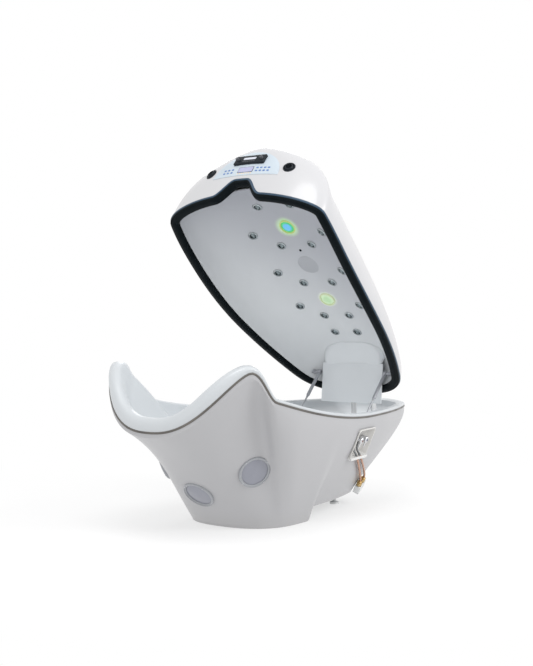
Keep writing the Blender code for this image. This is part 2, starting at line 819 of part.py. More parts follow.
def drape(name, outline, hub, lift, thick, grow=0.0):
    """Sheet laid on the lid's head wall and thickened outward.

    Outline and hub are (y, z) seen from the head."""
    work = bmesh.new()
    rings = []
    for share in (0.0, 0.5, 1.0 + grow):
        ring = []
        for y, z in outline if share else outline[:1]:
            start = (-CAST, hub[0] + (y - hub[0]) * share, hub[1] + (z - hub[1]) * share)
            point, normal = touch(dome, start, (1.0, 0.0, 0.0))
            ring.append(work.verts.new(point + normal * lift))
        rings.append(ring)
    centre, middle, edge = rings
    for i in range(len(outline)):
        j = (i + 1) % len(outline)
        work.faces.new((centre[0], middle[j], middle[i]))
        work.faces.new((middle[i], edge[j], edge[i]))
        work.faces.new((middle[i], middle[j], edge[j]))
    mesh = bpy.data.meshes.new(name)
    work.to_mesh(mesh)
    work.free()
    sheet = add(name, mesh)
    thicken(sheet, thick, 1.0)
    return sheet


def cut_lid(skin, cutter):
    combine(skin, [hang_on_lid(cutter)], "DIFFERENCE")


def turned_about_hinge(x, z, angle):
    """Where a point of the lid goes when the lid turns open by the angle."""
    along, up = x - HINGE_X, z - HINGE_Z
    return (HINGE_X + along * math.cos(angle) + up * math.sin(angle),
            HINGE_Z - along * math.sin(angle) + up * math.cos(angle))


def board_back(z):
    """x of the foot board's back face at a height."""
    share = (z - board_low.z) / slope.z
    return board_low.x + slope.x * share + (0.5 * BOARD_THICK + FIT) / board_face.x


def shift(x=0.0, y=0.0, z=0.0):
    return Matrix.Translation((x, y, z))


# Base: hull, trim bead and tub
rim = full_loop(half_loop(HEAD_X, WIDEST_X, FOOT_X, half_width, rim_height, STATIONS, RIM_PULL))
hull_rings = shell_rings(rim, SHELL_ROWS)
hull = skin_of(hull_rings)
base_shell = keep(lay_rings("base_shell", hull_rings), HULL)
thicken(base_shell, SHELL_WALL, -1.0)
keep(tube("rim_trim", rim, TRIM_RADIUS, closed=True), BRONZE)
bed_rings = tub_rings(rim, TUB_ROWS)
bed = skin_of(bed_rings)
tub_liner = keep(lay_rings("tub_liner", bed_rings, collapse=True), WHITE)
thicken(tub_liner, TUB_WALL, 1.0)

# Three mood lamps let into the head end of the hull
for name, side, height in (
        ("left", 1.0, MOOD_SIDE_Z), ("right", -1.0, MOOD_SIDE_Z), ("head", 0.0, MOOD_HEAD_Z)):
    turn = side * MOOD_SIDE_TURN
    heading = Vector((math.cos(turn), -math.sin(turn), 0.0))
    aim = Vector((MOOD_SIDE_X, side * MOOD_SIDE_Y, height))
    place = seat(*touch(hull, aim - heading * CAST, heading))
    combine(base_shell, [plug("lamp_hole_" + name, MOOD_RING + FIT, place)], "DIFFERENCE")
    keep(ring_plug("lamp_ring_" + name, MOOD_RING, MOOD_LENS, MOOD_RING_DEEP, MOOD_RING_PROUD, place), WHITE)
    keep(lens("lamp_lens_" + name, MOOD_LENS - FIT, MOOD_LENS_DEEP, MOOD_LENS_RISE, place), LILAC)

# Valve pocket in the near side: its tray, the mixer bar and two handles that turn on the bar's bosses
pocket_place = seat(*touch(hull, (POCKET_X, -CAST, POCKET_Z), (0.0, 1.0, 0.0)))
tray_place = pocket_place @ shift(z=POCKET_WALL - 0.5 * POCKET_DEEP)
hole = block("pocket_hole", (POCKET_WIDE + 2 * FIT, POCKET_TALL + 2 * FIT, THROUGH), pocket_place)
combine(base_shell, [hole], "DIFFERENCE")
pocket = block("valve_pocket", (POCKET_WIDE, POCKET_TALL, POCKET_DEEP), tray_place)
hollow = block("pocket_hollow", (POCKET_WIDE - 2 * POCKET_WALL, POCKET_TALL - 2 * POCKET_WALL, POCKET_DEEP),
               tray_place @ shift(z=POCKET_WALL))
combine(pocket, [hollow], "DIFFERENCE")
keep(pocket, WHITE)

back = 2 * POCKET_WALL - POCKET_DEEP
bar_z = back + BAR_RADIUS + FIT
mixer = cylinder("mixer_body", BAR_RADIUS, -VALVE_SPREAD, VALVE_SPREAD,
                 pocket_place @ shift(0.0, BAR_UP, bar_z) @ ALONG_X)
grip_foot = FIT - HANDLE_SINK
grip_top = grip_foot + HANDLE_LONG
for name, side in (("hot", -1.0), ("cold", 1.0)):
    spot = pocket_place @ shift(0.5 * side * VALVE_SPREAD, BAR_UP)
    combine(mixer, [cylinder("boss_" + name, BOSS_RADIUS, bar_z, -HANDLE_SINK, spot)], "UNION")
    profile = ((0.0, grip_foot), (HANDLE_RADIUS, grip_foot), (HANDLE_RADIUS, grip_top - HANDLE_CHAMFER),
               (HANDLE_RADIUS - HANDLE_CHAMFER, grip_top), (0.0, grip_top))
    grip = lathe("valve_handle_" + name, profile, spot)
    lever = block("lever_" + name, (LEVER_THICK, LEVER_LONG, LEVER_THICK),
                  spot @ shift(0.0, -LEVER_REACH, grip_foot + LEVER_THICK))
    combine(grip, [lever], "UNION")
    keep(grip, CHROME)
keep(mixer, CHROME)

# Copper pipes from the mixer over the pocket's ledge and down the hull, ending in nuts on the water inlet
ledge = -0.5 * POCKET_TALL
runs = np.array(SUPPLY_RUN)
aheads = np.gradient(runs, axis=0)
clears = np.linspace(SUPPLY_CLEAR_NEAR, SUPPLY_CLEAR_FAR, len(runs))
ends = []
for name, side, start in (("hot", -1.0, SUPPLY_STARTS[0]), ("cold", 1.0, SUPPLY_STARTS[1])):
    path = [pocket_place @ Vector(spot) for spot in (
        (start, BAR_UP - BAR_RADIUS - FIT, bar_z), (start, ledge + SUPPLY_BEND, bar_z),
        (start, ledge + LEDGE_BACK, LEDGE_OVER), (start, ledge - LEDGE_PAST, LEDGE_OVER))]
    for (x, z), ahead, clear in zip(runs, aheads, clears):
        aside = np.array((-ahead[1], ahead[0])) / np.linalg.norm(ahead) * side * SUPPLY_SPLIT
        point, normal = touch(hull, (x + aside[0], -CAST, z + aside[1]), (0.0, 1.0, 0.0))
        path.append(point + normal * clear)
    path = corner_cut(path)
    keep(tube("supply_pipe_" + name, path, SUPPLY_RADIUS), COPPER)
    end = Vector(path[-1])
    heading = Vector(path[-1] - path[-2]).normalized()
    ends.append((name, end, heading))
    bore = (SUPPLY_RADIUS + FIT) / math.cos(math.pi / NUT_SIDES)
    profile = ((bore, -0.5 * NUT_LONG), (NUT_RADIUS, -0.5 * NUT_LONG), (NUT_RADIUS, 0.5 * NUT_LONG),
               (bore, 0.5 * NUT_LONG))
    keep(lathe("union_nut_" + name, profile, seat(end, heading), NUT_SIDES), BRASS)

inlet_way = (ends[0][2] + ends[1][2]).normalized()
inlet_at = 0.5 * (ends[0][1] + ends[1][1]) + inlet_way * (0.5 * NUT_LONG + INLET_BACK + 0.5 * INLET_LONG)
_, normal = touch(hull, (inlet_at.x, -CAST, inlet_at.z), (0.0, 1.0, 0.0))
across = normal.cross(inlet_way).normalized()
turned = Matrix((across, inlet_way, inlet_way.cross(across))).transposed().to_4x4()
inlet = block("inlet_block", (INLET_WIDE, INLET_LONG, INLET_THICK), Matrix.Translation(inlet_at) @ turned)
for name, end, heading in ends:
    combine(inlet, [cylinder("stub_" + name, SUPPLY_RADIUS, FIT, STUB_LONG, seat(end, heading))], "UNION")
keep(inlet, WHITE)

# Chassis under the bed, with levelling feet that screw into it
rail_long = RAIL_TAIL_X - RAIL_HEAD_X
rail_mid = 0.5 * (RAIL_TAIL_X + RAIL_HEAD_X)
chassis = block("chassis", (rail_long, 2 * RAIL_Y + RAIL, PLATE_THICK),
                shift(rail_mid, 0.0, RAIL_TOP_Z - 0.5 * PLATE_THICK))
post_low = RAIL_TOP_Z - 0.5 * PLATE_THICK
post_top = BED_Z - TUB_WALL - FIT
leg_top = RAIL_TOP_Z - RAIL + 2 * WELD
welds = [block("sole", (SOLE_LONG, 2 * RAIL_Y + RAIL, SOLE_THICK), shift(SOLE_X, 0.0, 0.5 * SOLE_THICK))]
for name, side in SIDES:
    y = side * RAIL_Y
    welds.append(block("rail_" + name, (rail_long - WELD, RAIL - WELD, RAIL - WELD),
                       shift(rail_mid, y, RAIL_TOP_Z - 0.5 * RAIL - 0.5 * WELD)))
    for x in POST_XS:
        welds.append(block("post_" + name, (POST, POST, post_top - post_low),
                           shift(x, y, 0.5 * (post_low + post_top))))
    for x in LEG_XS:
        welds.append(block("leg_" + name, (LEG, LEG, leg_top - WELD), shift(x, y, 0.5 * (leg_top + WELD))))
combine(chassis, welds, "UNION")
for name, side in SIDES:
    spot = shift(FEET_X, side * RAIL_Y)
    socket = cylinder("socket_" + name, STEM_RADIUS + FIT, PAD_TOP, STEM_TOP + STEM_ROOM, spot)
    combine(chassis, [socket], "DIFFERENCE")
    profile = ((0.0, 0.0), (PAD_RADIUS, 0.0), (PAD_RADIUS, PAD_THICK), (STEM_RADIUS, PAD_TOP),
               (STEM_RADIUS, STEM_TOP), (0.0, STEM_TOP))
    keep(lathe("levelling_foot_" + name, profile, spot), STEEL)
keep(chassis, STEEL)

# Machinery on the chassis, and the drain from the bed's floor
shelf = RAIL_TOP_Z + FIT
pump_low = -0.5 * (PUMP_HEAD_LONG + PUMP_MOTOR_LONG)
pump_neck = pump_low + PUMP_HEAD_LONG
profile = ((0.0, pump_low), (PUMP_RADIUS, pump_low), (PUMP_RADIUS, pump_neck),
           (PUMP_MOTOR_RADIUS, pump_neck + PUMP_TAPER), (PUMP_MOTOR_RADIUS, -pump_low), (0.0, -pump_low))
pump = lathe("pump", profile, shift(PUMP_X, 0.0, shelf + PUMP_RADIUS + TANK_LIFT) @ ALONG_X)
boiler_end = 0.5 * BOILER_LONG
boiler_lip = BOILER_RADIUS - BOILER_DISH
profile = ((0.0, -boiler_end), (boiler_lip, -boiler_end), (BOILER_RADIUS, BOILER_DISH - boiler_end),
           (BOILER_RADIUS, boiler_end - BOILER_DISH), (boiler_lip, boiler_end), (0.0, boiler_end))
boiler = lathe("steam_boiler", profile, shift(BOILER_X, 0.0, shelf + BOILER_RADIUS + TANK_LIFT) @ ALONG_X)
for tank, x in ((pump, PUMP_X), (boiler, BOILER_X)):
    saddle = block("saddle_" + tank.name, (SADDLE_LONG, SADDLE_WIDE, SADDLE_TALL),
                   shift(x, 0.0, shelf + 0.5 * SADDLE_TALL))
    combine(tank, [saddle], "UNION")
    keep(tank, STEEL)
keep(block("control_box", BOX_SIZE, shift(BOX_X, 0.0, shelf + 0.5 * BOX_SIZE[2])), GREY)
drain_spot = shift(DRAIN_X, 0.0, BED_Z)
combine(tub_liner, [plug("drain_hole", DRAIN_NECK + FIT, drain_spot)], "DIFFERENCE")
profile = ((0.0, -DRAIN_NECK_LONG), (DRAIN_NECK, -DRAIN_NECK_LONG), (DRAIN_NECK, FIT), (DRAIN_RADIUS, FIT),
           (DRAIN_RADIUS, DRAIN_FLANGE), (0.0, DRAIN_FLANGE + DRAIN_RISE))
keep(lathe("drain_strainer", profile, drain_spot), CHROME)
drain_top = BED_Z - DRAIN_NECK_LONG - FIT
drop = [(DRAIN_X, 0.0, drain_top), (DRAIN_X, 0.0, 0.5 * (drain_top + DRAIN_PIPE_Z)),
        (DRAIN_X, 0.0, DRAIN_PIPE_Z), (DRAIN_PIPE_END_X, 0.0, DRAIN_PIPE_Z)]
keep(tube("drain_pipe", corner_cut(drop), DRAIN_PIPE_RADIUS), WHITE)

# Lid: modelled closed, hung on the hinge and turned open
lid_pivot = bpy.data.objects.new("lid_pivot", None)
PARTS.objects.link(lid_pivot)
lid_pivot.location = (HINGE_X, 0.0, HINGE_Z)
lid_pivot.rotation_euler = (0.0, LID_OPEN, 0.0)
lid_rim = full_loop(half_loop(LID_HEAD_START - LID_HEAD_DEPTH, LID_MIDDLE_X, LID_TAIL_START + LID_TAIL_DEPTH,
                              lid_half_width, lid_rim_height, LID_STATIONS, LID_PULL))
lid_out = outward(lid_rim)
lid_stand = upright(lid_rim)
inner_plan = lid_rim - lid_out * SEAL_WIDTH
outer_rings = dome_rings(lid_rim, lid_rim, LID_ROWS, CROWN_HEAD, CROWN_TAIL, LID_SQUARE, LID_HEAD_SQUARE)
inner_rings = dome_rings(lid_rim, inner_plan, LID_ROWS, LINER_CROWN_HEAD, LINER_CROWN_TAIL, LINER_SQUARE,
                         LINER_SQUARE)
dome = skin_of(outer_rings)
ceiling = skin_of(inner_rings)
lid_shell = keep(lay_rings("lid_shell", outer_rings, collapse=True), WHITE, on_lid=True)
thicken(lid_shell, LID_WALL, 1.0)
lid_liner = keep(lay_rings("lid_liner", inner_rings, collapse=True), GREY, on_lid=True)
thicken(lid_liner, LINER_WALL, -1.0)
seal_rings = [lid_rim - lid_out * (across * SEAL_WIDTH) - lid_stand * (SEAL_SEAT + down * SEAL_HEIGHT)
              for across, down in SEAL_PROFILE]
keep(lay_rings("lid_seal", seal_rings, wrap=True), BLACK, on_lid=True)

# Spray bars: a pipe behind the liner with nozzles through it, four columns
depth = LINER_WALL + SPRAY_PIPE_BACK
flange = NOZZLE_LIFT + NOZZLE_FLANGE
nozzle = ((0.0, -depth), (NOZZLE_STEM, -depth), (NOZZLE_STEM, NOZZLE_LIFT), (NOZZLE_RADIUS, NOZZLE_LIFT),
          (NOZZLE_RADIUS, flange), (NOZZLE_TIP_RADIUS, flange + NOZZLE_TIP), (0.0, flange + NOZZLE_TIP))
for row, spots in (("inner", INNER_NOZZLES), ("outer", OUTER_NOZZLES)):
    for name, side in SIDES:
        path = []
        heads = []
        for share, y in spots:
            point, normal = touch(ceiling, (lid_x(share), side * y, 0.0), (0.0, 0.0, 1.0))
            place = seat(point, normal)
            path.append(point - normal * depth)
            cut_lid(lid_liner, plug("nozzle_hole", NOZZLE_STEM + FIT, place, SMALL_TURN_STEPS))
            heads.append(hang_on_lid(lathe("nozzle", nozzle, place, SMALL_TURN_STEPS)))
        path.insert(0, path[0] + (path[0] - path[1]).normalized() * SPRAY_OVERRUN)
        path.append(path[-1] + (path[-1] - path[-2]).normalized() * SPRAY_OVERRUN)
        bar = tube("spray_bar_" + row + "_" + name, path, SPRAY_PIPE_RADIUS)
        combine(bar, heads, "UNION")
        keep(bar, CHROME, on_lid=True)

# Light-therapy lamps and the heater disc along the crown of the liner
for name, share in zip(("head", "foot"), LED_SHARES):
    place = seat(*touch(ceiling, (lid_x(share), 0.0, 0.0), (0.0, 0.0, 1.0)))
    cut_lid(lid_liner, plug("led_hole_" + name, LED_RING + FIT, place))
    keep(ring_plug("led_ring_" + name, LED_RING, LED_LENS, LED_RING_DEEP, LED_RING_PROUD, place), WHITE,
         on_lid=True)
    keep(lens("led_lens_" + name, LED_LENS - FIT, LED_LENS_DEEP, LED_LENS_RISE, place), BLUE, on_lid=True)
place = seat(*touch(ceiling, (lid_x(HEATER_SHARE), 0.0, 0.0), (0.0, 0.0, 1.0)))
cut_lid(lid_liner, plug("heater_hole", HEATER_RADIUS + FIT, place))
profile = ((0.0, -HEATER_DEEP), (HEATER_RADIUS, -HEATER_DEEP), (HEATER_RADIUS, HEATER_PROUD),
           (0.0, HEATER_PROUD + HEATER_RISE))
keep(lathe("heater_disc", profile, place), GREY, on_lid=True)

# Control panel let into the head wall of the lid, with its display
turns = np.linspace(0.0, math.pi, PANEL_ARC + 1)
outline = [(PANEL_HALF * math.cos(turn), PANEL_LOW_Z + PANEL_TALL * math.sin(turn)) for turn in turns]
outline += [(y, PANEL_LOW_Z) for y in np.linspace(-PANEL_HALF, PANEL_HALF, PANEL_BASE + 1)[1:-1]]
hub = (0.0, PANEL_LOW_Z + PANEL_HUB)
fascia = drape("control_fascia", outline, hub, FIT - PANEL_SUNK, PANEL_SUNK + PANEL_PROUD - FIT)
cut_lid(lid_shell, drape("fascia_recess", outline, hub, -PANEL_SUNK, 0.5 * THROUGH, PANEL_CLEAR))
keep(fascia, BLUE, on_lid=True)
edge = np.linspace(-SCREEN_HALF, SCREEN_HALF, SCREEN_STEPS + 1)
outline = [(y, SCREEN_Z - 0.5 * SCREEN_TALL) for y in edge]
outline += [(y, SCREEN_Z + 0.5 * SCREEN_TALL) for y in edge[::-1]]
screen = drape("display_window", outline, (0.0, SCREEN_Z), PANEL_PROUD + SCREEN_LIFT, SCREEN_THICK)
keep(screen, LILAC, on_lid=True)

# Radio through the panel, its two knobs, and a swivelling face vent to either side
radio_place = seat(*touch(dome, (-CAST, 0.0, RADIO_Z), (1.0, 0.0, 0.0)))
for skin in (lid_shell, fascia):
    cut_lid(skin, block("radio_hole", (RADIO_WIDE + 2 * FIT, RADIO_TALL + 2 * FIT, THROUGH), radio_place))
radio = block("radio_body", (RADIO_WIDE, RADIO_TALL, RADIO_DEEP),
              radio_place @ shift(z=RADIO_PROUD - 0.5 * RADIO_DEEP))
keep(radio, BLACK, on_lid=True)
knob_profile = ((0.0, 0.0), (KNOB_RADIUS, 0.0), (KNOB_TAPER * KNOB_RADIUS, KNOB_LONG), (0.0, KNOB_LONG))
for name, side in (("left", -1.0), ("right", 1.0)):
    spot = radio_place @ shift(side * (0.5 * RADIO_WIDE - KNOB_INSET), 0.0, RADIO_PROUD + FIT)
    knob = lathe("radio_knob_" + name, knob_profile, spot)
    mark = block("mark_" + name, (MARK_THICK, MARK_LONG, MARK_THICK),
                 spot @ shift(0.0, MARK_LONG, KNOB_LONG))
    combine(knob, [hang_on_lid(mark)], "UNION")
    keep(knob, BLACK, on_lid=True)
turns = np.linspace(0.0, math.pi, VENT_ARC + 1)[1:-1]
ball_arc = [(VENT_BALL * math.sin(turn), -VENT_BALL * math.cos(turn)) for turn in turns]
ball_profile = [(0.0, -VENT_BALL), *ball_arc, (0.0, VENT_BALL)]
for name, side in SIDES:
    place = seat(*touch(dome, (-CAST, side * VENT_Y, VENT_Z), (1.0, 0.0, 0.0)))
    cut_lid(lid_shell, plug("vent_hole_" + name, VENT_RING + FIT, place))
    ring = ring_plug("vent_ring_" + name, VENT_RING, VENT_BALL + FIT, VENT_RING_DEEP, VENT_RING_PROUD, place)
    keep(ring, BLACK, on_lid=True)
    spot = place @ shift(z=-VENT_SINK)
    ball = lathe("vent_ball_" + name, ball_profile, spot)
    mouth = cylinder("vent_mouth_" + name, VENT_MOUTH, VENT_BALL - VENT_MOUTH_DEEP, THROUGH, spot)
    combine(ball, [hang_on_lid(mouth)], "DIFFERENCE")
    keep(ball, BLACK, on_lid=True)

# Foot board in the lid, as wide as the struts at its sides leave room for
shut_top = turned_about_hinge(*STRUT_TOP, -LID_OPEN)
bed_wall = touch(bed, (STRUT_LOW[0], 0.0, STRUT_LOW[1]), (0.0, 1.0, 0.0))[0].y
lid_wall = touch(ceiling, (shut_top[0], 0.0, shut_top[1]), (0.0, 1.0, 0.0))[0].y
strut_y = min(bed_wall - BRACKET_ROOM, lid_wall - BUTTON_ROOM)
eye_half = 0.5 * EYE_WIDTH
board_low = Vector((BOARD_LOW[0], 0.0, BOARD_LOW[1]))
board_high = Vector((BOARD_HIGH[0], 0.0, BOARD_HIGH[1]))
slope = board_high - board_low
board_face = Vector((slope.z, 0.0, -slope.x)).normalized()
board_size = (2 * (strut_y - eye_half - BOARD_CLEAR), slope.length, BOARD_THICK)
keep(block("foot_board", board_size, seat(0.5 * (board_low + board_high), board_face)), GREY, on_lid=True)

# Hinge: two arms tied together behind the board, a pin through them, and a lug to either side on the deck
arm_y = LUG_Y - 0.5 * (LUG_THICK + ARM_THICK) - FIT
arm_low = HINGE_Z - 0.5 * ARM_TALL
arm_high = HINGE_Z + 0.5 * ARM_TALL
arm_outline = ((board_back(arm_low), arm_low), (HINGE_X + ARM_OVER, arm_low), (HINGE_X + ARM_OVER, arm_high),
               (board_back(arm_high), arm_high))
arms = [plate(name, arm_outline, ARM_THICK, shift(y=y) @ STANDING)
        for name, y in (("hinge_arm", arm_y), ("arm_other", -arm_y))]
tie = block("arm_tie", (TIE, 2 * arm_y, TIE), shift(board_back(HINGE_Z) + TIE_BACK, 0.0, HINGE_Z))
combine(arms[0], [hang_on_lid(arms[1]), hang_on_lid(tie)], "UNION")
hinge_spot = shift(HINGE_X, 0.0, HINGE_Z) @ STANDING
pin_half = LUG_Y + 0.5 * LUG_THICK + FIT
cut_lid(arms[0], cylinder("pin_bore", PIN_RADIUS + FIT, -pin_half, pin_half, hinge_spot))
keep(arms[0], STEEL, on_lid=True)
pin_end = pin_half + PIN_HEAD
profile = ((0.0, -pin_end), (PIN_HEAD_RADIUS, -pin_end), (PIN_HEAD_RADIUS, -pin_half),
           (PIN_RADIUS, -pin_half), (PIN_RADIUS, pin_half), (PIN_HEAD_RADIUS, pin_half),
           (PIN_HEAD_RADIUS, pin_end), (0.0, pin_end))
keep(lathe("hinge_pin", profile, hinge_spot), CHROME, on_lid=True)
deck = DECK_Z + FIT
for name, side in SIDES:
    for skin in (lid_shell, lid_liner):
        slot_size = (ARM_SLOT_LONG, ARM_THICK + 2 * ARM_SLOT_CLEAR, ARM_TALL + 2 * ARM_SLOT_CLEAR)
        cut_lid(skin, block("arm_slot_" + name, slot_size, shift(ARM_SLOT_X, side * arm_y, HINGE_Z)))
    lug = block("hinge_bracket_" + name, (LUG_LONG, LUG_THICK, HINGE_Z - deck),
                shift(HINGE_X, side * LUG_Y, 0.5 * (HINGE_Z + deck)))
    spot = shift(HINGE_X, side * LUG_Y, HINGE_Z) @ STANDING
    crown = cylinder("lug_crown_" + name, 0.5 * LUG_LONG, -0.5 * LUG_THICK, 0.5 * LUG_THICK, spot)
    sole = block("lug_sole_" + name, (LUG_SOLE_LONG, LUG_SOLE_WIDE, LUG_SOLE_THICK),
                 shift(HINGE_X, side * (LUG_Y - LUG_SOLE_SHIFT), deck + 0.5 * LUG_SOLE_THICK))
    combine(lug, [crown, sole], "UNION")
    combine(lug, [plug("lug_eye_" + name, PIN_RADIUS + FIT, spot)], "DIFFERENCE")
    keep(lug, STEEL)

# Gas struts: a rod pivoted on a bracket in the tub, and a tube that slides on it up to a button on the lid
strut_long = math.dist(STRUT_LOW, STRUT_TOP)
strut_way = Vector((STRUT_TOP[0] - STRUT_LOW[0], 0.0, STRUT_TOP[1] - STRUT_LOW[1])).normalized()
neck = EYE_RADIUS - EYE_BITE
tube_top = strut_long - neck
tube_low = tube_top - STRUT_TUBE_LENGTH
bore_top = tube_top - STRUT_TUBE_END
slide = STRUT_ROD_RADIUS + FIT
nose_top = tube_low + STRUT_TUBE_END
tube_profile = ((0.0, bore_top), (slide, bore_top), (slide, tube_low), (STRUT_NOSE_RADIUS, tube_low),
                (STRUT_NOSE_RADIUS, nose_top), (STRUT_TUBE_RADIUS, nose_top), (STRUT_TUBE_RADIUS, tube_top),
                (0.0, tube_top))
stud_hole = STUD_RADIUS + FIT
eye_profile = ((stud_hole, -eye_half), (EYE_RADIUS, -eye_half), (EYE_RADIUS, eye_half),
               (stud_hole, eye_half))
collar = strut_y + eye_half + FIT
stud_tip = strut_y - eye_half - STUD_TIP
for name, side in SIDES:
    low_point = Vector((STRUT_LOW[0], side * strut_y, STRUT_LOW[1]))
    top_point = Vector((STRUT_TOP[0], side * strut_y, STRUT_TOP[1]))
    strut_place = seat(low_point, strut_way)
    rod = lathe("strut_rod_" + name, eye_profile, Matrix.Translation(low_point) @ STANDING)
    shaft = cylinder("rod_shaft_" + name, STRUT_ROD_RADIUS, neck, STRUT_ROD_LENGTH, strut_place)
    combine(rod, [shaft], "UNION")
    keep(rod, STEEL)
    strut_tube = lathe("strut_tube_" + name, tube_profile, strut_place)
    knuckle = cylinder("tube_eye_" + name, EYE_RADIUS, -eye_half, eye_half,
                       Matrix.Translation(top_point) @ STANDING)
    combine(strut_tube, [knuckle], "UNION")
    keep(strut_tube, STEEL)

    outboard = Matrix.Rotation(-side * math.radians(90.0), 4, "X")
    point, normal = touch(bed, (STRUT_LOW[0], 0.0, STRUT_LOW[1]), (0.0, side, 0.0))
    bracket = block("strut_bracket_" + name, (BRACKET_LONG, BRACKET_TALL, BRACKET_THICK),
                    seat(point, normal) @ shift(z=0.5 * BRACKET_THICK + BRACKET_CLEAR))
    stud_root = abs(point.y) - BRACKET_THICK
    profile = ((0.0, stud_tip), (STUD_RADIUS, stud_tip), (STUD_RADIUS, collar), (POST_RADIUS, collar),
               (POST_RADIUS, stud_root), (0.0, stud_root))
    stud = lathe("stud_" + name, profile, shift(STRUT_LOW[0], 0.0, STRUT_LOW[1]) @ outboard)
    combine(bracket, [stud], "UNION")
    keep(bracket, STEEL)

    point, normal = touch(ceiling, (shut_top[0], 0.0, shut_top[1]), (0.0, side, 0.0))
    button = block("strut_button_" + name, (BUTTON_PAD, BUTTON_PAD, BUTTON_PAD_THICK),
                   seat(point, normal) @ shift(z=0.5 * BUTTON_PAD_THICK + BUTTON_CLEAR))
    boss = cylinder("lid_boss_" + name, BUTTON_RADIUS, collar, abs(point.y) - BUTTON_PAD_THICK,
                    shift(shut_top[0], 0.0, shut_top[1]) @ outboard)
    combine(button, [hang_on_lid(boss)], "UNION")
    keep(button, STEEL, on_lid=True)
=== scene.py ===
import json
import math

import bmesh
import bpy
import numpy as np
from mathutils import Matrix, Vector
from mathutils.bvhtree import BVHTree


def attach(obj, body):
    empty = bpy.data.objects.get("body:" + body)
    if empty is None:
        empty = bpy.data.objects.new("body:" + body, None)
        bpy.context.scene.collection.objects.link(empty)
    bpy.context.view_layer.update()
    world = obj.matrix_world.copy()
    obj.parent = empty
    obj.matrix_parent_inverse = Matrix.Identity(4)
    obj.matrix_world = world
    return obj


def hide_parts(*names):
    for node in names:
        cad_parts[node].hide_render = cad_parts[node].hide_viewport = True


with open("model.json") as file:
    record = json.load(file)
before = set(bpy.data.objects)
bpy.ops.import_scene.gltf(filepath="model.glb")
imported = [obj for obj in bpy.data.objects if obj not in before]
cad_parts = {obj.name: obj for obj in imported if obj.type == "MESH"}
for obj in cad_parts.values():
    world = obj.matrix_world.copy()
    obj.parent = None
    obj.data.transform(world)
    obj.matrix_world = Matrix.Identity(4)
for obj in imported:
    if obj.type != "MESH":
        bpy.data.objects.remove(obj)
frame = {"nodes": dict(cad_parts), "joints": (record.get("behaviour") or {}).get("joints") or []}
nodes = frame["nodes"]
joints = {joint["name"]: joint for joint in frame["joints"]}
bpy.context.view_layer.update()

# Hull of the base: one glass-fibre moulding, gel-coated in a faintly lavender white, trimmed along the rim.
# It tucks in under the head end, flares along the sides and steps up behind the plinth into a toe-kick.
HEAD_X = -1.10
FOOT_X = 1.10
WIDEST_X = -0.38
HALF_WIDTH = 0.50
TAIL_TAPER = 0.68
TAIL_POWER = 2.4
TAIL_ROUND = 0.25
HEAD_POWER = 3.0
HEAD_ROOT = 2.5
RIM_LOW = 0.525
RIM_LOW_X = 0.15
SHOULDER_X = -0.767
SHOULDER_RISE = 0.13
WING_X = -0.879
WING_TOP = 0.789
WING_FLANK = 0.135
HEAD_DIP = 0.512
DIP_POWER = 1.5
EDGE_GAP = 0.0036
EDGE_DROP = 0.020
BOTTOM_HEAD_X = -0.56
BOTTOM_MID_X = -0.25
BOTTOM_TAIL_X = 0.52
BOTTOM_HALF = 0.29
BOTTOM_TAIL_TAPER = 0.45
BOTTOM_TAIL_ROUND = 0.25
TOE_KICK = 0.07
TOE_KICK_X = -0.17
TOE_KICK_RUN = 0.06
WALL_DROP = 0.10
WALL_FLARE = 0.30
TUCK_X = -0.58
TUCK_RUN = 0.34
TUCK_IN = 0.52
TUCK_DOWN = 0.30
TUCK_FLARE = 0.33
SHELL_WALL = 0.010
HEM_ROUND = 0.010
HEM_CHAMFER_IN = 0.018
HEM_CHAMFER_UP = 0.030
HEM_SHARES = (0.25, 0.5, 0.75, 1.0)
RIM_SAMPLES = 1600
RIM_STATIONS = 150
HULL_ROWS = 36
REACH_HALVINGS = 24
SCUFF_TOP = 0.10
SCUFF_MOST = 0.5


def smooth(value):
    value = min(1.0, max(0.0, value))
    return value * value * (3.0 - 2.0 * value)


def half_width(x):
    """Half width of the rim's plan."""
    if x >= WIDEST_X:
        run = (x - WIDEST_X) / (FOOT_X - WIDEST_X)
        over = max(0.0, x - FOOT_X + TAIL_ROUND) / TAIL_ROUND
        taper = 1.0 - TAIL_TAPER * run ** TAIL_POWER
        return HALF_WIDTH * taper * math.sqrt(max(0.0, 1.0 - over * over))
    run = min(1.0, (WIDEST_X - x) / (WIDEST_X - HEAD_X))
    return HALF_WIDTH * (1.0 - run ** HEAD_POWER) ** (1.0 / HEAD_ROOT)


def sheer(x):
    """Height of the rim without its wings."""
    run = max(0.0, RIM_LOW_X - x) / (RIM_LOW_X - SHOULDER_X)
    return RIM_LOW + SHOULDER_RISE * run * run


def rim_height(x):
    if x < WING_X:
        run = (WING_X - x) / (WING_X - HEAD_X)
        return WING_TOP - (WING_TOP - HEAD_DIP) * run ** DIP_POWER
    wing = 0.5 + 0.5 * math.cos(math.pi * min(1.0, (x - WING_X) / WING_FLANK))
    return sheer(x) * (1.0 - wing) + WING_TOP * wing


def closed_rim(head_x, middle_x, foot_x, width_at, height_at, count):
    """Closed rim from its plan and height, near side first, its points evenly spread."""
    dense = []
    for step in range(RIM_SAMPLES + 1):
        turn = math.cos(math.pi * step / RIM_SAMPLES)
        x = middle_x + turn * ((foot_x - middle_x) if turn > 0 else (middle_x - head_x))
        dense.append((x, -width_at(x), height_at(x)))
    points = np.array(dense)
    place = np.concatenate([[0.0], np.cumsum(np.linalg.norm(np.diff(points, axis=0), axis=1))])
    marks = np.linspace(0.0, place[-1], count + 1)
    near = np.column_stack([np.interp(marks, place, points[:, axis]) for axis in range(3)])
    return np.vstack([near, near[-2:0:-1] * np.array([1.0, -1.0, 1.0])])


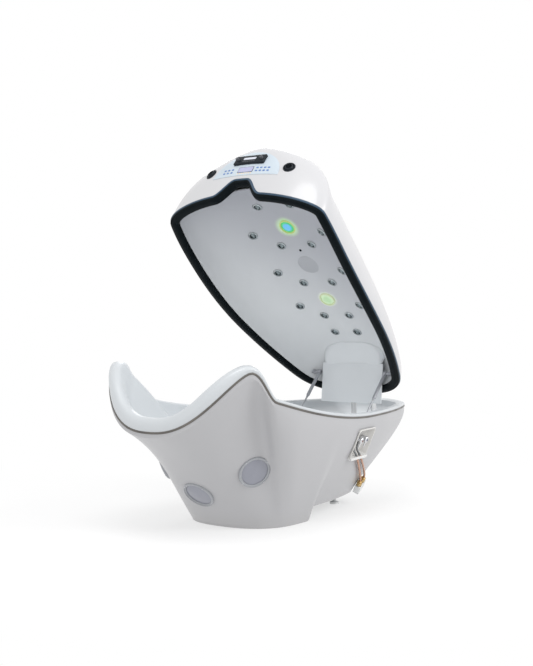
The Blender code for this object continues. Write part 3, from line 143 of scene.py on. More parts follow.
def outward(loop):
    """Level unit vectors square to a rim, pointing away from it."""
    along = np.roll(loop, -1, axis=0) - np.roll(loop, 1, axis=0)
    sideways = np.column_stack([-along[:, 1], along[:, 0], np.zeros(len(loop))])
    return sideways / np.linalg.norm(sideways, axis=1)[:, None]


def upright(loop):
    """Unit vectors square to a rim that stand as upright as it lets them."""
    along = np.roll(loop, -1, axis=0) - np.roll(loop, 1, axis=0)
    along /= np.linalg.norm(along, axis=1)[:, None]
    square = np.cross(along, outward(loop))
    return square * np.sign(square[:, 2])[:, None]


def kick(x):
    """How far the bottom edge has stepped up into the toe-kick at x, from 0 to 1."""
    return smooth((x - TOE_KICK_X) / TOE_KICK_RUN + 0.5)


def bottom_point(x):
    """Where the wall under a rim point at x meets the bottom edge: x, half width and height."""
    if x >= WIDEST_X:
        run = (x - WIDEST_X) / (FOOT_X - WIDEST_X)
        over = max(0.0, run - 1.0 + BOTTOM_TAIL_ROUND) / BOTTOM_TAIL_ROUND
        along = BOTTOM_MID_X + (BOTTOM_TAIL_X - BOTTOM_MID_X) * run
        taper = 1.0 - BOTTOM_TAIL_TAPER * run * run
        half = BOTTOM_HALF * taper * math.sqrt(max(0.0, 1.0 - over * over))
    else:
        run = (WIDEST_X - x) / (WIDEST_X - HEAD_X)
        along = BOTTOM_MID_X - (BOTTOM_MID_X - BOTTOM_HEAD_X) * run
        half = BOTTOM_HALF * max(0.0, 1.0 - run ** HEAD_POWER) ** (1.0 / HEAD_ROOT)
    return along, half, TOE_KICK * kick(along)


def wall_point(rim_point, t):
    """Point on the hull under a rim point: t = 0 just below the bead, t = 1 at the bottom edge."""
    along, half, low = bottom_point(rim_point[0])
    top = rim_point - np.array([0.0, 0.0, EDGE_GAP + EDGE_DROP])
    foot = np.array([along, math.copysign(half, rim_point[1]), low])
    tuck = smooth((TUCK_X - rim_point[0]) / TUCK_RUN)
    hang = top - np.array([0.0, 0.0, WALL_DROP + rim_point[2] - RIM_LOW])
    hang += (top + (foot - top) * np.array([TUCK_IN, TUCK_IN, TUCK_DOWN]) - hang) * tuck
    lean = foot + (top - foot) * (WALL_FLARE + (TUCK_FLARE - WALL_FLARE) * tuck)
    rest = 1.0 - t
    return rest ** 3 * top + 3 * t * rest ** 2 * hang + 3 * t * t * rest * lean + t ** 3 * foot


def wall_reach(rim_point, height_at):
    """How far down the hull, as t, its wall stays above a height that depends on x."""
    low, high = 0.0, 1.0
    for _ in range(REACH_HALVINGS):
        middle = 0.5 * (low + high)
        point = wall_point(rim_point, middle)
        if point[2] > height_at(point[0]):
            low = middle
        else:
            high = middle
    return low


def hem_height(x):
    """Height where the wall turns in to the bottom edge."""
    step = kick(x)
    return TOE_KICK * step + HEM_ROUND + (HEM_CHAMFER_UP - HEM_ROUND) * step


def hull_rings(loop):
    """Outer skin of the hull from under the bead down, its hem rounded at the floor and chamfered behind."""
    rings = [loop - upright(loop) * EDGE_GAP]
    ends = [wall_reach(point, hem_height) for point in loop]
    for row in range(HULL_ROWS + 1):
        rings.append(np.array([wall_point(point, end * row / HULL_ROWS) for point, end in zip(loop, ends)]))
    brink = rings[-1]
    out = outward(loop)
    step = np.array([kick(x) for x in brink[:, 0]])
    wide = HEM_ROUND + (HEM_CHAMFER_IN - HEM_ROUND) * step
    tall = HEM_ROUND + (HEM_CHAMFER_UP - HEM_ROUND) * step
    for share in HEM_SHARES:
        turn = 0.5 * math.pi * share
        inward = wide * ((1.0 - math.cos(turn)) * (1.0 - step) + share * step)
        down = tall * (math.sin(turn) * (1.0 - step) + share * step)
        rings.append(brink - out * inward[:, None] - np.array([0.0, 0.0, 1.0]) * down[:, None])
    return rings


def ring_faces(rows, count, wrap=False):
    """Quads between closed rings of points; wrap also joins the last ring to the first."""
    faces = []
    for row in range(rows if wrap else rows - 1):
        over = (row + 1) % rows
        for i in range(count):
            j = (i + 1) % count
            faces.append((row * count + i, row * count + j, over * count + j, over * count + i))
    return faces


def add(name, mesh):
    """Object for a mesh, standing at the origin."""
    piece = bpy.data.objects.new(name, mesh)
    bpy.context.scene.collection.objects.link(piece)
    return piece


def loft(name, rings, wrap=False, ends=False, weld=False, place=None):
    """Skin over closed rings of points; ends caps it, weld closes a last ring that meets itself."""
    count = len(rings[0])
    points = np.vstack(rings)
    faces = ring_faces(len(rings), count, wrap)
    if ends:
        faces += [tuple(range(count))[::-1], tuple(range(len(points) - count, len(points)))]
    mesh = bpy.data.meshes.new(name)
    mesh.from_pydata(points.tolist(), [], faces)
    work = bmesh.new()
    work.from_mesh(mesh)
    if weld:
        bmesh.ops.remove_doubles(work, verts=work.verts, dist=0.0001)
    if wrap or ends:
        bmesh.ops.recalc_face_normals(work, faces=work.faces)
    if place is not None:
        bmesh.ops.transform(work, matrix=place, verts=work.verts)
    work.to_mesh(mesh)
    work.free()
    return add(name, mesh)


def skin_of(rings):
    """Lofted skin that lines can be cast on, to seat fittings."""
    return BVHTree.FromPolygons(np.vstack(rings).tolist(), ring_faces(len(rings), len(rings[0])))


def thicken(piece, wall, offset):
    solid = piece.modifiers.new("Wall", "SOLIDIFY")
    solid.thickness = wall
    solid.offset = offset
    solid.use_rim = True


def shade(mesh, sharp):
    """Smooth shading between edges that turn by more than an angle in degrees."""
    mesh.shade_smooth()
    mesh.set_sharp_from_angle(angle=math.radians(sharp))


def evaluated_mesh(piece):
    """Plain mesh of a piece as its modifiers leave it."""
    bpy.context.view_layer.update()
    return bpy.data.meshes.new_from_object(piece.evaluated_get(bpy.context.evaluated_depsgraph_get()))


def settle(piece, sharp=35.0):
    """Turn a piece's modifiers into plain mesh and shade it."""
    done = evaluated_mesh(piece)
    piece.modifiers.clear()
    piece.data = done
    shade(done, sharp)
    return piece


def cut(piece, cutters):
    """Take cutters out of a piece and throw them away."""
    for cutter in cutters:
        step = piece.modifiers.new("Cut", "BOOLEAN")
        step.operation = "DIFFERENCE"
        step.solver = "EXACT"
        step.object = cutter
    settle(piece)
    for cutter in cutters:
        bpy.data.objects.remove(cutter, do_unlink=True)


def new_tree(name, kind, inputs, outputs):
    """Empty node group with its sockets, each a name and a kind; returns it and what it is given."""
    tree = bpy.data.node_groups.new(name, kind)
    for way, sockets in (("INPUT", inputs), ("OUTPUT", outputs)):
        for label, socket in sockets.items():
            tree.interface.new_socket(label, in_out=way, socket_type="NodeSocket" + socket)
    return tree, tree.nodes.new("NodeGroupInput").outputs


def wire(tree, kind, inputs=None, **settings):
    """Add a node to a tree, set its inputs from values or from other nodes' sockets."""
    node = tree.nodes.new(kind)
    for key, value in settings.items():
        setattr(node, key, value)
    for key, value in (inputs or {}).items():
        if isinstance(value, bpy.types.NodeSocket):
            tree.links.new(value, node.inputs[key])
        else:
            node.inputs[key].default_value = value
    return node


def where(tree):
    """Place on the piece, in its own coordinates."""
    return wire(tree, "ShaderNodeTexCoord").outputs["Object"]


def ramp(tree, value, start, end, low=0.0, high=1.0, kind="SMOOTHSTEP"):
    """Value that goes from low to high while another goes from start to end."""
    return wire(tree, "ShaderNodeMapRange", {"Value": value, "From Min": start, "From Max": end,
                                             "To Min": low, "To Max": high},
                interpolation_type=kind).outputs["Result"]


def blend(tree, share, first, second, kind="MIX"):
    """Colour between two, by a share."""
    return wire(tree, "ShaderNodeMix", {"Factor": share, "A": first, "B": second}, data_type="RGBA",
                blend_type=kind).outputs[2]


def mottle_group():
    """Broad drift between two colours, with matching roughness, and a fine grain to raise as bumps."""
    tree, given = new_tree("mottle", "ShaderNodeTree",
                           {"Colour": "Color", "Shade": "Color", "Patch Scale": "Float",
                            "Grain Scale": "Float", "Rough Low": "Float", "Rough High": "Float"},
                           {"Colour": "Color", "Roughness": "Float", "Grain": "Float"})
    spot = where(tree)
    drift = wire(tree, "ShaderNodeTexNoise", {"Vector": spot, "Scale": given["Patch Scale"], "Detail": 4.0})
    fade = ramp(tree, drift.outputs["Fac"], 0.35, 0.7, kind="LINEAR")
    grain = wire(tree, "ShaderNodeTexNoise", {"Vector": spot, "Scale": given["Grain Scale"], "Detail": 2.0})
    wire(tree, "NodeGroupOutput", {
        "Colour": blend(tree, fade, given["Colour"], given["Shade"]),
        "Roughness": ramp(tree, fade, 0.0, 1.0, given["Rough Low"], given["Rough High"], "LINEAR"),
        "Grain": grain.outputs["Fac"]})
    return tree


mottle = mottle_group()


def finish(name, colour, shade, rough, patch=3.0, grain=300.0, bump=0.05, **sockets):
    """Material on the mottle group, with further values for its shader's sockets."""
    material = bpy.data.materials.new(name)
    material.use_nodes = True
    tree = material.node_tree
    shader = tree.nodes["Principled BSDF"]
    group = wire(tree, "ShaderNodeGroup", node_tree=mottle)
    for key, value in (("Colour", (*colour, 1.0)), ("Shade", (*shade, 1.0)), ("Patch Scale", patch),
                       ("Grain Scale", grain), ("Rough Low", rough[0]), ("Rough High", rough[1])):
        group.inputs[key].default_value = value
    tree.links.new(group.outputs["Colour"], shader.inputs["Base Color"])
    tree.links.new(group.outputs["Roughness"], shader.inputs["Roughness"])
    raised = wire(tree, "ShaderNodeBump", {"Height": group.outputs["Grain"], "Strength": bump,
                                           "Distance": 0.001})
    tree.links.new(raised.outputs["Normal"], shader.inputs["Normal"])
    for key, value in sockets.items():
        shader.inputs[key.replace("_", " ")].default_value = value
    return material


def workings(material):
    """A finish's tree, its shader's inputs and the colour that its mottle gives."""
    given = material.node_tree.nodes["Principled BSDF"].inputs
    return material.node_tree, given, given["Base Color"].links[0].from_socket


def dress(piece, material, body, slot, *replaced):
    """Give a finished piece its material, hang it on its body and hide the parts it takes the place of."""
    piece.data.materials.clear()
    piece.data.materials.append(material)
    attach(piece, body)
    if replaced:
        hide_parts(*replaced)
    return piece


def scuffed_gel_coat():
    """Gloss gel coat with a soft drift of tone, faintly dulled where shoes and mops reach it."""
    material = finish("hull_gel_coat", (0.425, 0.425, 0.438), (0.405, 0.406, 0.418), (0.34, 0.42), patch=1.2,
                      grain=160.0, bump=0.03, Coat_Weight=0.12, Coat_Roughness=0.15)
    tree, given, colour = workings(material)
    spot = where(tree)
    height = wire(tree, "ShaderNodeSeparateXYZ", {"Vector": spot}).outputs["Z"]
    low = ramp(tree, height, SCUFF_TOP, 0.0, high=SCUFF_MOST, kind="LINEAR")
    specks = wire(tree, "ShaderNodeTexNoise", {"Vector": spot, "Scale": 55.0, "Detail": 6.0}).outputs["Fac"]
    scuff = wire(tree, "ShaderNodeMath", {0: low, 1: specks}, operation="MULTIPLY").outputs["Value"]
    tree.links.new(blend(tree, scuff, colour, (0.40, 0.39, 0.38, 1.0)), given["Base Color"])
    return material


rim = closed_rim(HEAD_X, WIDEST_X, FOOT_X, half_width, rim_height, RIM_STATIONS)
hull_skin_rings = hull_rings(rim)
hull_skin = skin_of(hull_skin_rings)
hull = loft("hull", hull_skin_rings)
thicken(hull, SHELL_WALL, offset=-1.0)
hull_coat = scuffed_gel_coat()

# Trim bead: an extruded bronze-coloured strip pressed over the joint of hull and tub, all round the rim.
# Its section is a flat-sided bead a little wider than it is tall, swept along the rim.
BEAD_WIDE = 0.0105
BEAD_TALL = 0.0066
BEAD_ROUND = 0.0030


def coated_output(tree, geometry, material):
    """End of a geometry tree: its instances made real, then given their finish."""
    whole = wire(tree, "GeometryNodeRealizeInstances", {"Geometry": geometry}).outputs["Geometry"]
    coated = wire(tree, "GeometryNodeSetMaterial", {"Geometry": whole, "Material": material})
    wire(tree, "NodeGroupOutput", {"Geometry": coated.outputs["Geometry"]})


def bead_tree():
    """Sweeps a rounded section along a curve."""
    tree, given = new_tree("bead_along_rim", "GeometryNodeTree",
                           {"Geometry": "Geometry", "Wide": "Float", "Tall": "Float", "Round": "Float",
                            "Finish": "Material"}, {"Geometry": "Geometry"})
    stand = wire(tree, "GeometryNodeSetCurveNormal", {"Curve": given["Geometry"]}, mode="Z_UP")
    section = wire(tree, "GeometryNodeCurvePrimitiveQuadrilateral",
                   {"Width": given["Tall"], "Height": given["Wide"]})
    eased = wire(tree, "GeometryNodeFilletCurve", {"Curve": section.outputs["Curve"], "Count": 4,
                                                   "Radius": given["Round"]}, mode="POLY")
    swept = wire(tree, "GeometryNodeCurveToMesh", {"Curve": stand.outputs["Curve"],
                                                   "Profile Curve": eased.outputs["Curve"]})
    coated_output(tree, swept.outputs["Mesh"], given["Finish"])
    return tree


def made(name, work, sharp=40.0):
    """Shaded object from a bmesh, which is freed."""
    mesh = bpy.data.meshes.new(name)
    work.to_mesh(mesh)
    work.free()
    shade(mesh, sharp)
    return add(name, mesh)


def plain_mesh(piece):
    """New object holding a curve or node-made piece as a plain mesh; the old one goes."""
    name = piece.name
    source = evaluated_mesh(piece)
    bpy.data.objects.remove(piece, do_unlink=True)
    work = bmesh.new()
    work.from_mesh(source)
    bpy.data.meshes.remove(source)
    bmesh.ops.remove_doubles(work, verts=work.verts, dist=0.00001)
    bmesh.ops.recalc_face_normals(work, faces=work.faces)
    return made(name, work)


def grown(piece, tree, values):
    """What a geometry tree makes of a piece, as a plain mesh; inputs are set by their identifiers."""
    step = piece.modifiers.new(tree.name, "NODES")
    step.node_group = tree
    for socket in tree.interface.items_tree:
        if socket.in_out == "INPUT" and socket.name in values:
            step[socket.identifier] = values[socket.name]
    return plain_mesh(piece)


def path_curve(name, points, closed=False):
    curve = bpy.data.curves.new(name, "CURVE")
    curve.dimensions = "3D"
    spline = curve.splines.new("POLY")
    spline.points.add(len(points) - 1)
    spline.use_cyclic_u = closed
    for spot, point in zip(spline.points, points):
        spot.co = (*point, 1.0)
    return curve


bead_finish = finish("bronze_bead", (0.135, 0.125, 0.113), (0.095, 0.088, 0.08), (0.32, 0.45), patch=9.0,
                     grain=500.0, bump=0.04, Metallic=0.35)
bead = grown(add("rim_bead", path_curve("rim_bead", rim, closed=True)), bead_tree(),
             {"Wide": BEAD_WIDE, "Tall": BEAD_TALL, "Round": BEAD_ROUND, "Finish": bead_finish})
dress(bead, bead_finish, "base", "bronze_trim", "rim_trim")

# Tub: the white acrylic inner moulding. Its lip swells into a head roll, its walls follow the hull inside,
# and its bed is pressed with a neck rest, a ridge between the legs and a deck behind the feet.
ROLL_HEIGHT = 0.065
ROLL_WIDTH = 0.0755
ROLL_X = -0.78
ROLL_RUN = 0.25
ROLL_WIDE_X = -0.70
ROLL_WIDE_RUN = 0.16
LIP_HEIGHT = 0.018
LIP_WIDTH = 0.050
LIP_PROFILE = ((0.0, 0.0), (-0.05, 0.5), (0.1, 0.86), (0.4, 1.0), (0.72, 0.9), (0.96, 0.5))
LIP_STEPS = 4
BED_Z = 0.27
NECK_Z = 0.44
NECK_X = -0.42
NECK_RUN = 0.30
DECK_Z = 0.42
DECK_X = 0.66
DECK_RUN = 0.14
TUB_WALL = 0.006
TUB_ROWS = 16
WALL_START = 0.02
WALL_INSET = 1.05
WALL_LEAN = 0.05
WALL_TUCK = 0.014
WALL_TUCK_X = -0.58
WALL_TUCK_RUN = 0.12
BED_ROUND = 0.03
BED_FLAT_AT = 0.16
BED_STEPS = 22
BED_CROWDING = 1.6
TUB_SPINE_HEAD_X = -0.92
TUB_SPINE_FOOT_X = 0.90
LEG_RIDGE = 0.007
LEG_RIDGE_HALF = 0.05
LEG_RIDGE_X = 0.12
LEG_RIDGE_RUN = 0.20
LEG_RIDGE_END = 0.26
LEG_RIDGE_FADE = 0.08
BOWL_EDGE = 0.52
BOWL_DEEP = 0.42


def eased_path(points, steps):
    """Smooth path through a few points, its ends kept."""
    spots = np.array(points, float)
    padded = np.vstack([2 * spots[0] - spots[1], spots, 2 * spots[-1] - spots[-2]])
    path = []
    for first, second, third, fourth in zip(padded, padded[1:], padded[2:], padded[3:]):
        for step in range(steps):
            t = step / steps
            path.append(0.5 * (2 * second + (third - first) * t
                               + (2 * first - 5 * second + 4 * third - fourth) * t * t
                               + (3 * second - first - 3 * third + fourth) * t ** 3))
    return path + [spots[-1]]


def floor_height(x):
    """Height of the bed: raised under the neck and at the deck behind the feet."""
    neck = (NECK_Z - BED_Z) * smooth((NECK_X - x) / NECK_RUN)
    deck = (DECK_Z - BED_Z) * smooth((x - DECK_X + DECK_RUN) / DECK_RUN)
    return BED_Z + neck + deck


def leg_ridge(x, y):
    """Low ridge pressed between the legs."""
    along = smooth((x - LEG_RIDGE_X + LEG_RIDGE_RUN) / LEG_RIDGE_RUN)
    along *= 1.0 - smooth((x - LEG_RIDGE_END) / LEG_RIDGE_FADE)
    return LEG_RIDGE * along * (1.0 - smooth(abs(y) / LEG_RIDGE_HALF))


def tub_rings(loop):
    """Inner skin of the base: lip over the rim, walls, then the bed drawn in to its centre line."""
    out = outward(loop)
    stand = upright(loop)
    fat = np.array([smooth((ROLL_X - x) / ROLL_RUN) for x in loop[:, 0]])
    tall = LIP_HEIGHT + (ROLL_HEIGHT - LIP_HEIGHT) * fat
    spread = np.array([smooth((ROLL_WIDE_X - x) / ROLL_WIDE_RUN) for x in loop[:, 0]])
    wide = LIP_WIDTH + (ROLL_WIDTH - LIP_WIDTH) * spread
    rings = []
    for inward, lift in eased_path(LIP_PROFILE, LIP_STEPS):
        rings.append(loop - out * (inward * wide)[:, None] + stand * (EDGE_GAP + lift * tall)[:, None])
    tuck = np.array([WALL_TUCK * smooth((WALL_TUCK_X - x) / WALL_TUCK_RUN) for x in loop[:, 0]])
    inset = WALL_INSET * wide + tuck
    edge = loop - out * inset[:, None]
    edge[:, 2] -= WALL_START
    rings.append(edge)
    ends = [wall_reach(point, lambda x: floor_height(x) + BED_ROUND) for point in loop]
    for row in range(1, TUB_ROWS + 1):
        part = row / TUB_ROWS
        ring = np.array([wall_point(point, end * part) for point, end in zip(loop, ends)])
        rings.append(ring - out * (inset + WALL_LEAN * part)[:, None])
    brink = rings[-1]
    share = (loop[:, 0] - HEAD_X) / (FOOT_X - HEAD_X)
    spine = np.zeros_like(loop)
    spine[:, 0] = TUB_SPINE_HEAD_X + (TUB_SPINE_FOOT_X - TUB_SPINE_HEAD_X) * share
    for step in range(1, BED_STEPS + 1):
        inward = (step / BED_STEPS) ** BED_CROWDING
        ring = brink + (spine - brink) * inward
        rise = BED_ROUND * max(0.0, 1.0 - inward / BED_FLAT_AT) ** 2
        ring[:, 2] = [floor_height(x) + leg_ridge(x, y) + rise for x, y in ring[:, :2]]
        rings.append(ring)
    return rings


def bowl_acrylic():
    """White acrylic with painted light down in the bowl: a lighter colour and a faint glow that stand for the
    light its walls throw on one another.
    """
    # The emission colour here is painted light, a faint glow that the bowl's depth turns up below.
    material = finish("tub_acrylic", (0.535, 0.56, 0.58), (0.515, 0.54, 0.56), (0.32, 0.42), patch=3.0,
                      grain=220.0, bump=0.02, Coat_Weight=0.12, Coat_Roughness=0.2,
                      Emission_Color=(0.52, 0.56, 0.60, 1.0))
    tree, given, colour = workings(material)
    height = wire(tree, "ShaderNodeSeparateXYZ", {"Vector": where(tree)}).outputs["Z"]
    # Painted light: the colour lightens and a faint glow grows with depth in the bowl.
    bowl_glow_share = ramp(tree, height, BOWL_EDGE, BOWL_DEEP)
    tree.links.new(blend(tree, bowl_glow_share, colour, (0.86, 0.88, 0.895, 1.0)), given["Base Color"])
    tree.links.new(ramp(tree, bowl_glow_share, 0.0, 1.0, 0.05, 0.20, "LINEAR"), given["Emission Strength"])
    return material


tub = loft("tub", tub_rings(rim), weld=True)
thicken(tub, TUB_WALL, offset=1.0)
dress(settle(tub), bowl_acrylic(), "base", "white_gloss", "tub_liner")

# Mood lamps: three round lamps let into the head end of the hull, each a white bezel with a lilac lens.
# The bezel is moulded with a rolled edge and held by four screws; the lens has fine rings on its face.
LAMP_FACES = {"left": (-1.0, 1.0, 0.0), "right": (-1.0, -1.0, 0.0), "head": (-1.0, 0.0, 0.0)}
LAMP_SEGMENTS = 96
LAMP_BEZEL = 0.0135
LAMP_SKIRT = 0.0045
LAMP_ROLL = 0.006
LAMP_HOLE_IN = 0.004
LAMP_BORE = (-0.05, 0.09)
LAMP_SCREWS = 4
LAMP_SCREW_RADIUS = 0.0034
LENS_FIT = 0.0006
LENS_RISE = 0.006
LENS_RINGS = 9
LENS_CREST = 0.0007


def corners_of(node):
    """A node's corner points, each once."""
    spots = np.array([vertex.co for vertex in nodes[node].data.vertices])
    return np.unique(np.round(spots, 6), axis=0)


def frame_along(axis):
    """Rotation whose Z runs along the axis and whose X stays as level as it can."""
    z = Vector(axis).normalized()
    side = Vector((0.0, 1.0, 0.0)) if abs(z.z) > 0.9 else Vector((0.0, 0.0, 1.0)).cross(z)
    y = z.cross(side).normalized()
    return Matrix((y.cross(z), y, z)).transposed().to_4x4()


def turned_place(node, towards):
    """Where a ring-shaped node sits: its axis along local Z, facing the given way, with z = 0 at its back."""
    spots = corners_of(node)
    middle = spots.mean(axis=0)
    _, _, rows = np.linalg.svd(spots - middle)
    axis = rows[2] * np.sign(rows[2] @ np.array(towards))
    back = ((spots - middle) @ axis).min()
    return Matrix.Translation(Vector(middle + axis * back)) @ frame_along(axis)


def turned_size(node, place):
    """A turned node's outer radius, inner radius and length about its place."""
    inverse = np.array(place.inverted())
    local = corners_of(node) @ inverse[:3, :3].T + inverse[:3, 3]
    radii = np.linalg.norm(local[:, :2], axis=1)
    return radii.max(), radii.min(), local[:, 2].max()


def turn(name, profile, place, segments):
    """Solid turned about local Z from (radius, height) pairs; off the axis it is closed into a ring."""
    work = bmesh.new()
    spots = [work.verts.new((radius, 0.0, height)) for radius, height in profile]
    edges = [work.edges.new(pair) for pair in zip(spots, spots[1:])]
    if profile[0][0] > 0.0:
        edges.append(work.edges.new((spots[-1], spots[0])))
    bmesh.ops.spin(work, geom=spots + edges, axis=(0.0, 0.0, 1.0), cent=(0.0, 0.0, 0.0), angle=math.tau,
                   steps=segments, use_merge=True)
    bmesh.ops.remove_doubles(work, verts=work.verts, dist=0.000005)
    bmesh.ops.recalc_face_normals(work, faces=work.faces)
    bmesh.ops.transform(work, matrix=place, verts=work.verts)
    return made(name, work)


def drill(place, radius, span, segments):
    """Round cutter about a place's Z, over a span of heights."""
    low, high = span
    return turn("hole", [(0.0, low), (radius, low), (radius, high), (0.0, high)], place, segments)


def arc(radius, centre, first, last, steps):
    """Points (radius, height) on an arc, angles in degrees."""
    turns = [math.radians(first + (last - first) * step / steps) for step in range(steps + 1)]
    return [(centre[0] + radius * math.cos(t), centre[1] + radius * math.sin(t)) for t in turns]


def shift(x=0.0, y=0.0, z=0.0):
    return Matrix.Translation((x, y, z))


def about(axis, degrees):
    return Matrix.Rotation(math.radians(degrees), 4, axis)


def block(name, wide, tall, low, high, place):
    """Plain block about a place's Z, from low to high."""
    corners = [(0.5 * wide * x, 0.5 * tall * y) for x, y in ((-1, -1), (1, -1), (1, 1), (-1, 1))]
    return loft(name, [[(x, y, z) for x, y in corners] for z in (low, high)], ends=True, place=place)


def copies_tree():
    """Copies a small piece onto points that carry their own turn."""
    tree, given = new_tree("copies_on_points", "GeometryNodeTree",
                           {"Geometry": "Geometry", "Piece": "Object", "Finish": "Material"},
                           {"Geometry": "Geometry"})
    piece = wire(tree, "GeometryNodeObjectInfo", {"Object": given["Piece"]}).outputs["Geometry"]
    facing = wire(tree, "GeometryNodeInputNamedAttribute", {"Name": "turn"}, data_type="QUATERNION")
    spread = wire(tree, "GeometryNodeInstanceOnPoints", {"Points": given["Geometry"], "Instance": piece,
                                                         "Rotation": facing.outputs["Attribute"]})
    coated_output(tree, spread.outputs["Instances"], given["Finish"])
    return tree


copies = copies_tree()


def repeat(name, piece, places, material):
    """One mesh of copies of a small piece, one at each place; the piece itself is used up."""
    mesh = bpy.data.meshes.new(name)
    mesh.from_pydata([place.translation for place in places], [], [])
    turns = mesh.attributes.new("turn", "QUATERNION", "POINT")
    for spot, place in zip(turns.data, places):
        spot.value = place.to_quaternion()
    done = grown(add(name, mesh), copies, {"Piece": piece, "Finish": material})
    bpy.data.objects.remove(piece, do_unlink=True)
    return done


def screw_head(radius):
    """Pan-head screw with a cross recess, its seat at z = 0."""
    dome = arc(1.6 * radius, (0.0, -radius), 52.0, 90.0, 5)
    head = turn("screw", [(0.0, -radius), (0.5 * radius, -radius), (0.5 * radius, 0.0), (radius, 0.0)]
                + dome[:-1] + [(0.0, 0.6 * radius)], Matrix.Identity(4), segments=20)
    cut(head, [block("slot", 1.1 * radius, 0.2 * radius, 0.25 * radius, radius, about("Z", quarter))
               for quarter in (0.0, 90.0)])
    return head


white_bezel = finish("white_bezel", (0.345, 0.358, 0.38), (0.322, 0.335, 0.357), (0.22, 0.32), patch=6.0,
                     grain=260.0, bump=0.03, Coat_Weight=0.2)
lilac = finish("lilac_lens", (0.245, 0.254, 0.298), (0.267, 0.276, 0.32), (0.10, 0.18), patch=14.0,
               grain=240.0, bump=0.02, Coat_Weight=0.5, Coat_Roughness=0.05)
zinc = finish("zinc_screw", (0.62, 0.63, 0.66), (0.48, 0.49, 0.52), (0.2, 0.38), patch=60.0, grain=900.0,
              Metallic=1.0)
hull_cutters = []
for side, towards in LAMP_FACES.items():
    place = turned_place("lamp_ring_" + side, towards)
    outer, _, tall = turned_size("lamp_ring_" + side, place)
    inner = outer - LAMP_BEZEL
    hull_cutters.append(drill(place, outer - LAMP_HOLE_IN, LAMP_BORE, segments=64))
    bezel = turn("lamp_bezel_" + side,
                 [(inner, 0.0), (outer - LAMP_SKIRT, 0.0), (outer - LAMP_SKIRT, tall - 2.4 * LAMP_ROLL),
                  (outer, tall - 2.2 * LAMP_ROLL)]
                 + arc(LAMP_ROLL, (outer - LAMP_ROLL, tall - LAMP_ROLL), 0.0, 90.0, 6)
                 + [(inner + 0.010, tall - 0.0005), (inner + 0.007, tall - 0.003),
                    (inner + 0.001, tall - 0.0045), (inner, tall - 0.006)], place, LAMP_SEGMENTS)
    dress(bezel, white_bezel, "base", "white_gloss", "lamp_ring_" + side)
    lens = inner - LENS_FIT
    profile = [(0.0, 0.012), (lens, 0.012), (lens, tall - 0.009)]
    for step in range(2 * LENS_RINGS, -1, -1):
        share = step / (2 * LENS_RINGS)
        swell = LENS_RISE * (1.0 - share * share) + LENS_CREST * (step % 2)
        profile.append((lens * share, tall - 0.0085 + swell))
    pane = turn("lamp_lens_" + side, profile, place, LAMP_SEGMENTS)
    dress(pane, lilac, "base", "lilac_lens", "lamp_lens_" + side)
    spots = [place @ about("Z", 360.0 * (k + 0.5) / LAMP_SCREWS)
             @ shift(x=0.5 * (inner + outer) + 0.002, z=tall - 0.0006) for k in range(LAMP_SCREWS)]
    screws = repeat("lamp_screws_" + side, screw_head(LAMP_SCREW_RADIUS), spots, zinc)
    dress(screws, zinc, "base", "steel")

# Valve pocket: a white plastic tray let into the near side of the hull, open to the front, with a flat
# flange. Its walls are drafted so that it leaves the mould, and the pipes leave over a ledge along its foot.
POCKET_FLANGE = 0.003
POCKET_LIP = 0.003
POCKET_DRAFT = 0.006
POCKET_ROUND = 0.016
LEDGE_TALL = 0.016
LEDGE_UP = 0.006


def round_rect(wide, tall, radius, height, steps=6):
    """Ring of points round a rectangle with rounded corners, at a height."""
    ring = []
    for corner in range(4):
        cx = (0.5 * wide - radius) * (1.0 if corner in (0, 3) else -1.0)
        cy = (0.5 * tall - radius) * (1.0 if corner in (0, 1) else -1.0)
        for step in range(steps + 1):
            t = 0.5 * math.pi * (corner + step / steps)
            ring.append((cx + radius * math.cos(t), cy + radius * math.sin(t), height))
    return ring


def pad(name, wide, tall, radius, steps, place=None):
    """Block with rounded corners, through steps of (inset, height), some with a gain in radius."""
    return loft(name, [round_rect(wide - 2 * inset, tall - 2 * inset, radius + sum(gain), height)
                       for inset, height, *gain in steps], ends=True, place=place)


def local_box(node, rotation):
    """Lowest and highest corners of a node in a turned frame."""
    local = corners_of(node) @ np.array(rotation.to_3x3())
    return local.min(axis=0), local.max(axis=0)


pocket_turn = frame_along(joints["valve_turn_hot"]["axis"])
low, high = local_box("valve_pocket", pocket_turn)
pocket_wide, pocket_tall, pocket_deep = high - low
pocket_place = pocket_turn @ shift(*(0.5 * (low + high)[:2]), high[2])
hull_cutters.append(pad("hole", pocket_wide, pocket_tall, POCKET_ROUND, ((0.001, -0.08), (0.001, 0.06)),
                        pocket_place))
tray = pad("valve_tray", pocket_wide, pocket_tall, POCKET_ROUND, (
    (0.0015, -pocket_deep), (0.0015, -0.002), (-POCKET_FLANGE, -0.002, POCKET_FLANGE),
    (-POCKET_FLANGE, POCKET_LIP - 0.001, POCKET_FLANGE), (0.0015 - POCKET_FLANGE, POCKET_LIP, POCKET_FLANGE),
    (0.003, POCKET_LIP), (0.004, POCKET_LIP - 0.001), (0.004 + POCKET_DRAFT, 0.010 - pocket_deep, -0.004),
    (0.010 + POCKET_DRAFT, 0.004 - pocket_deep, -0.008)), pocket_place)
gloss_white = finish("gloss_white", (0.62, 0.61, 0.59), (0.58, 0.57, 0.55), (0.18, 0.30), patch=5.0,
                     grain=240.0, bump=0.025, Coat_Weight=0.3, Coat_Roughness=0.07)
dress(settle(tray, sharp=50.0), gloss_white, "base", "white_gloss", "valve_pocket")
ledge = pad("tray_ledge", pocket_wide, LEDGE_TALL, 0.005, ((0.0, -0.02), (0.0, 0.010), (0.0015, 0.012)),
            pocket_place @ shift(y=LEDGE_UP - 0.5 * pocket_tall))
ledge_white = finish("ledge_white", (0.72, 0.72, 0.71), (0.68, 0.68, 0.67), (0.25, 0.35), patch=9.0,
                     bump=0.03)
dress(settle(ledge), ledge_white, "base", "white_gloss")
cut(hull, hull_cutters)
dress(hull, hull_coat, "base", "hull_gloss", "base_shell")

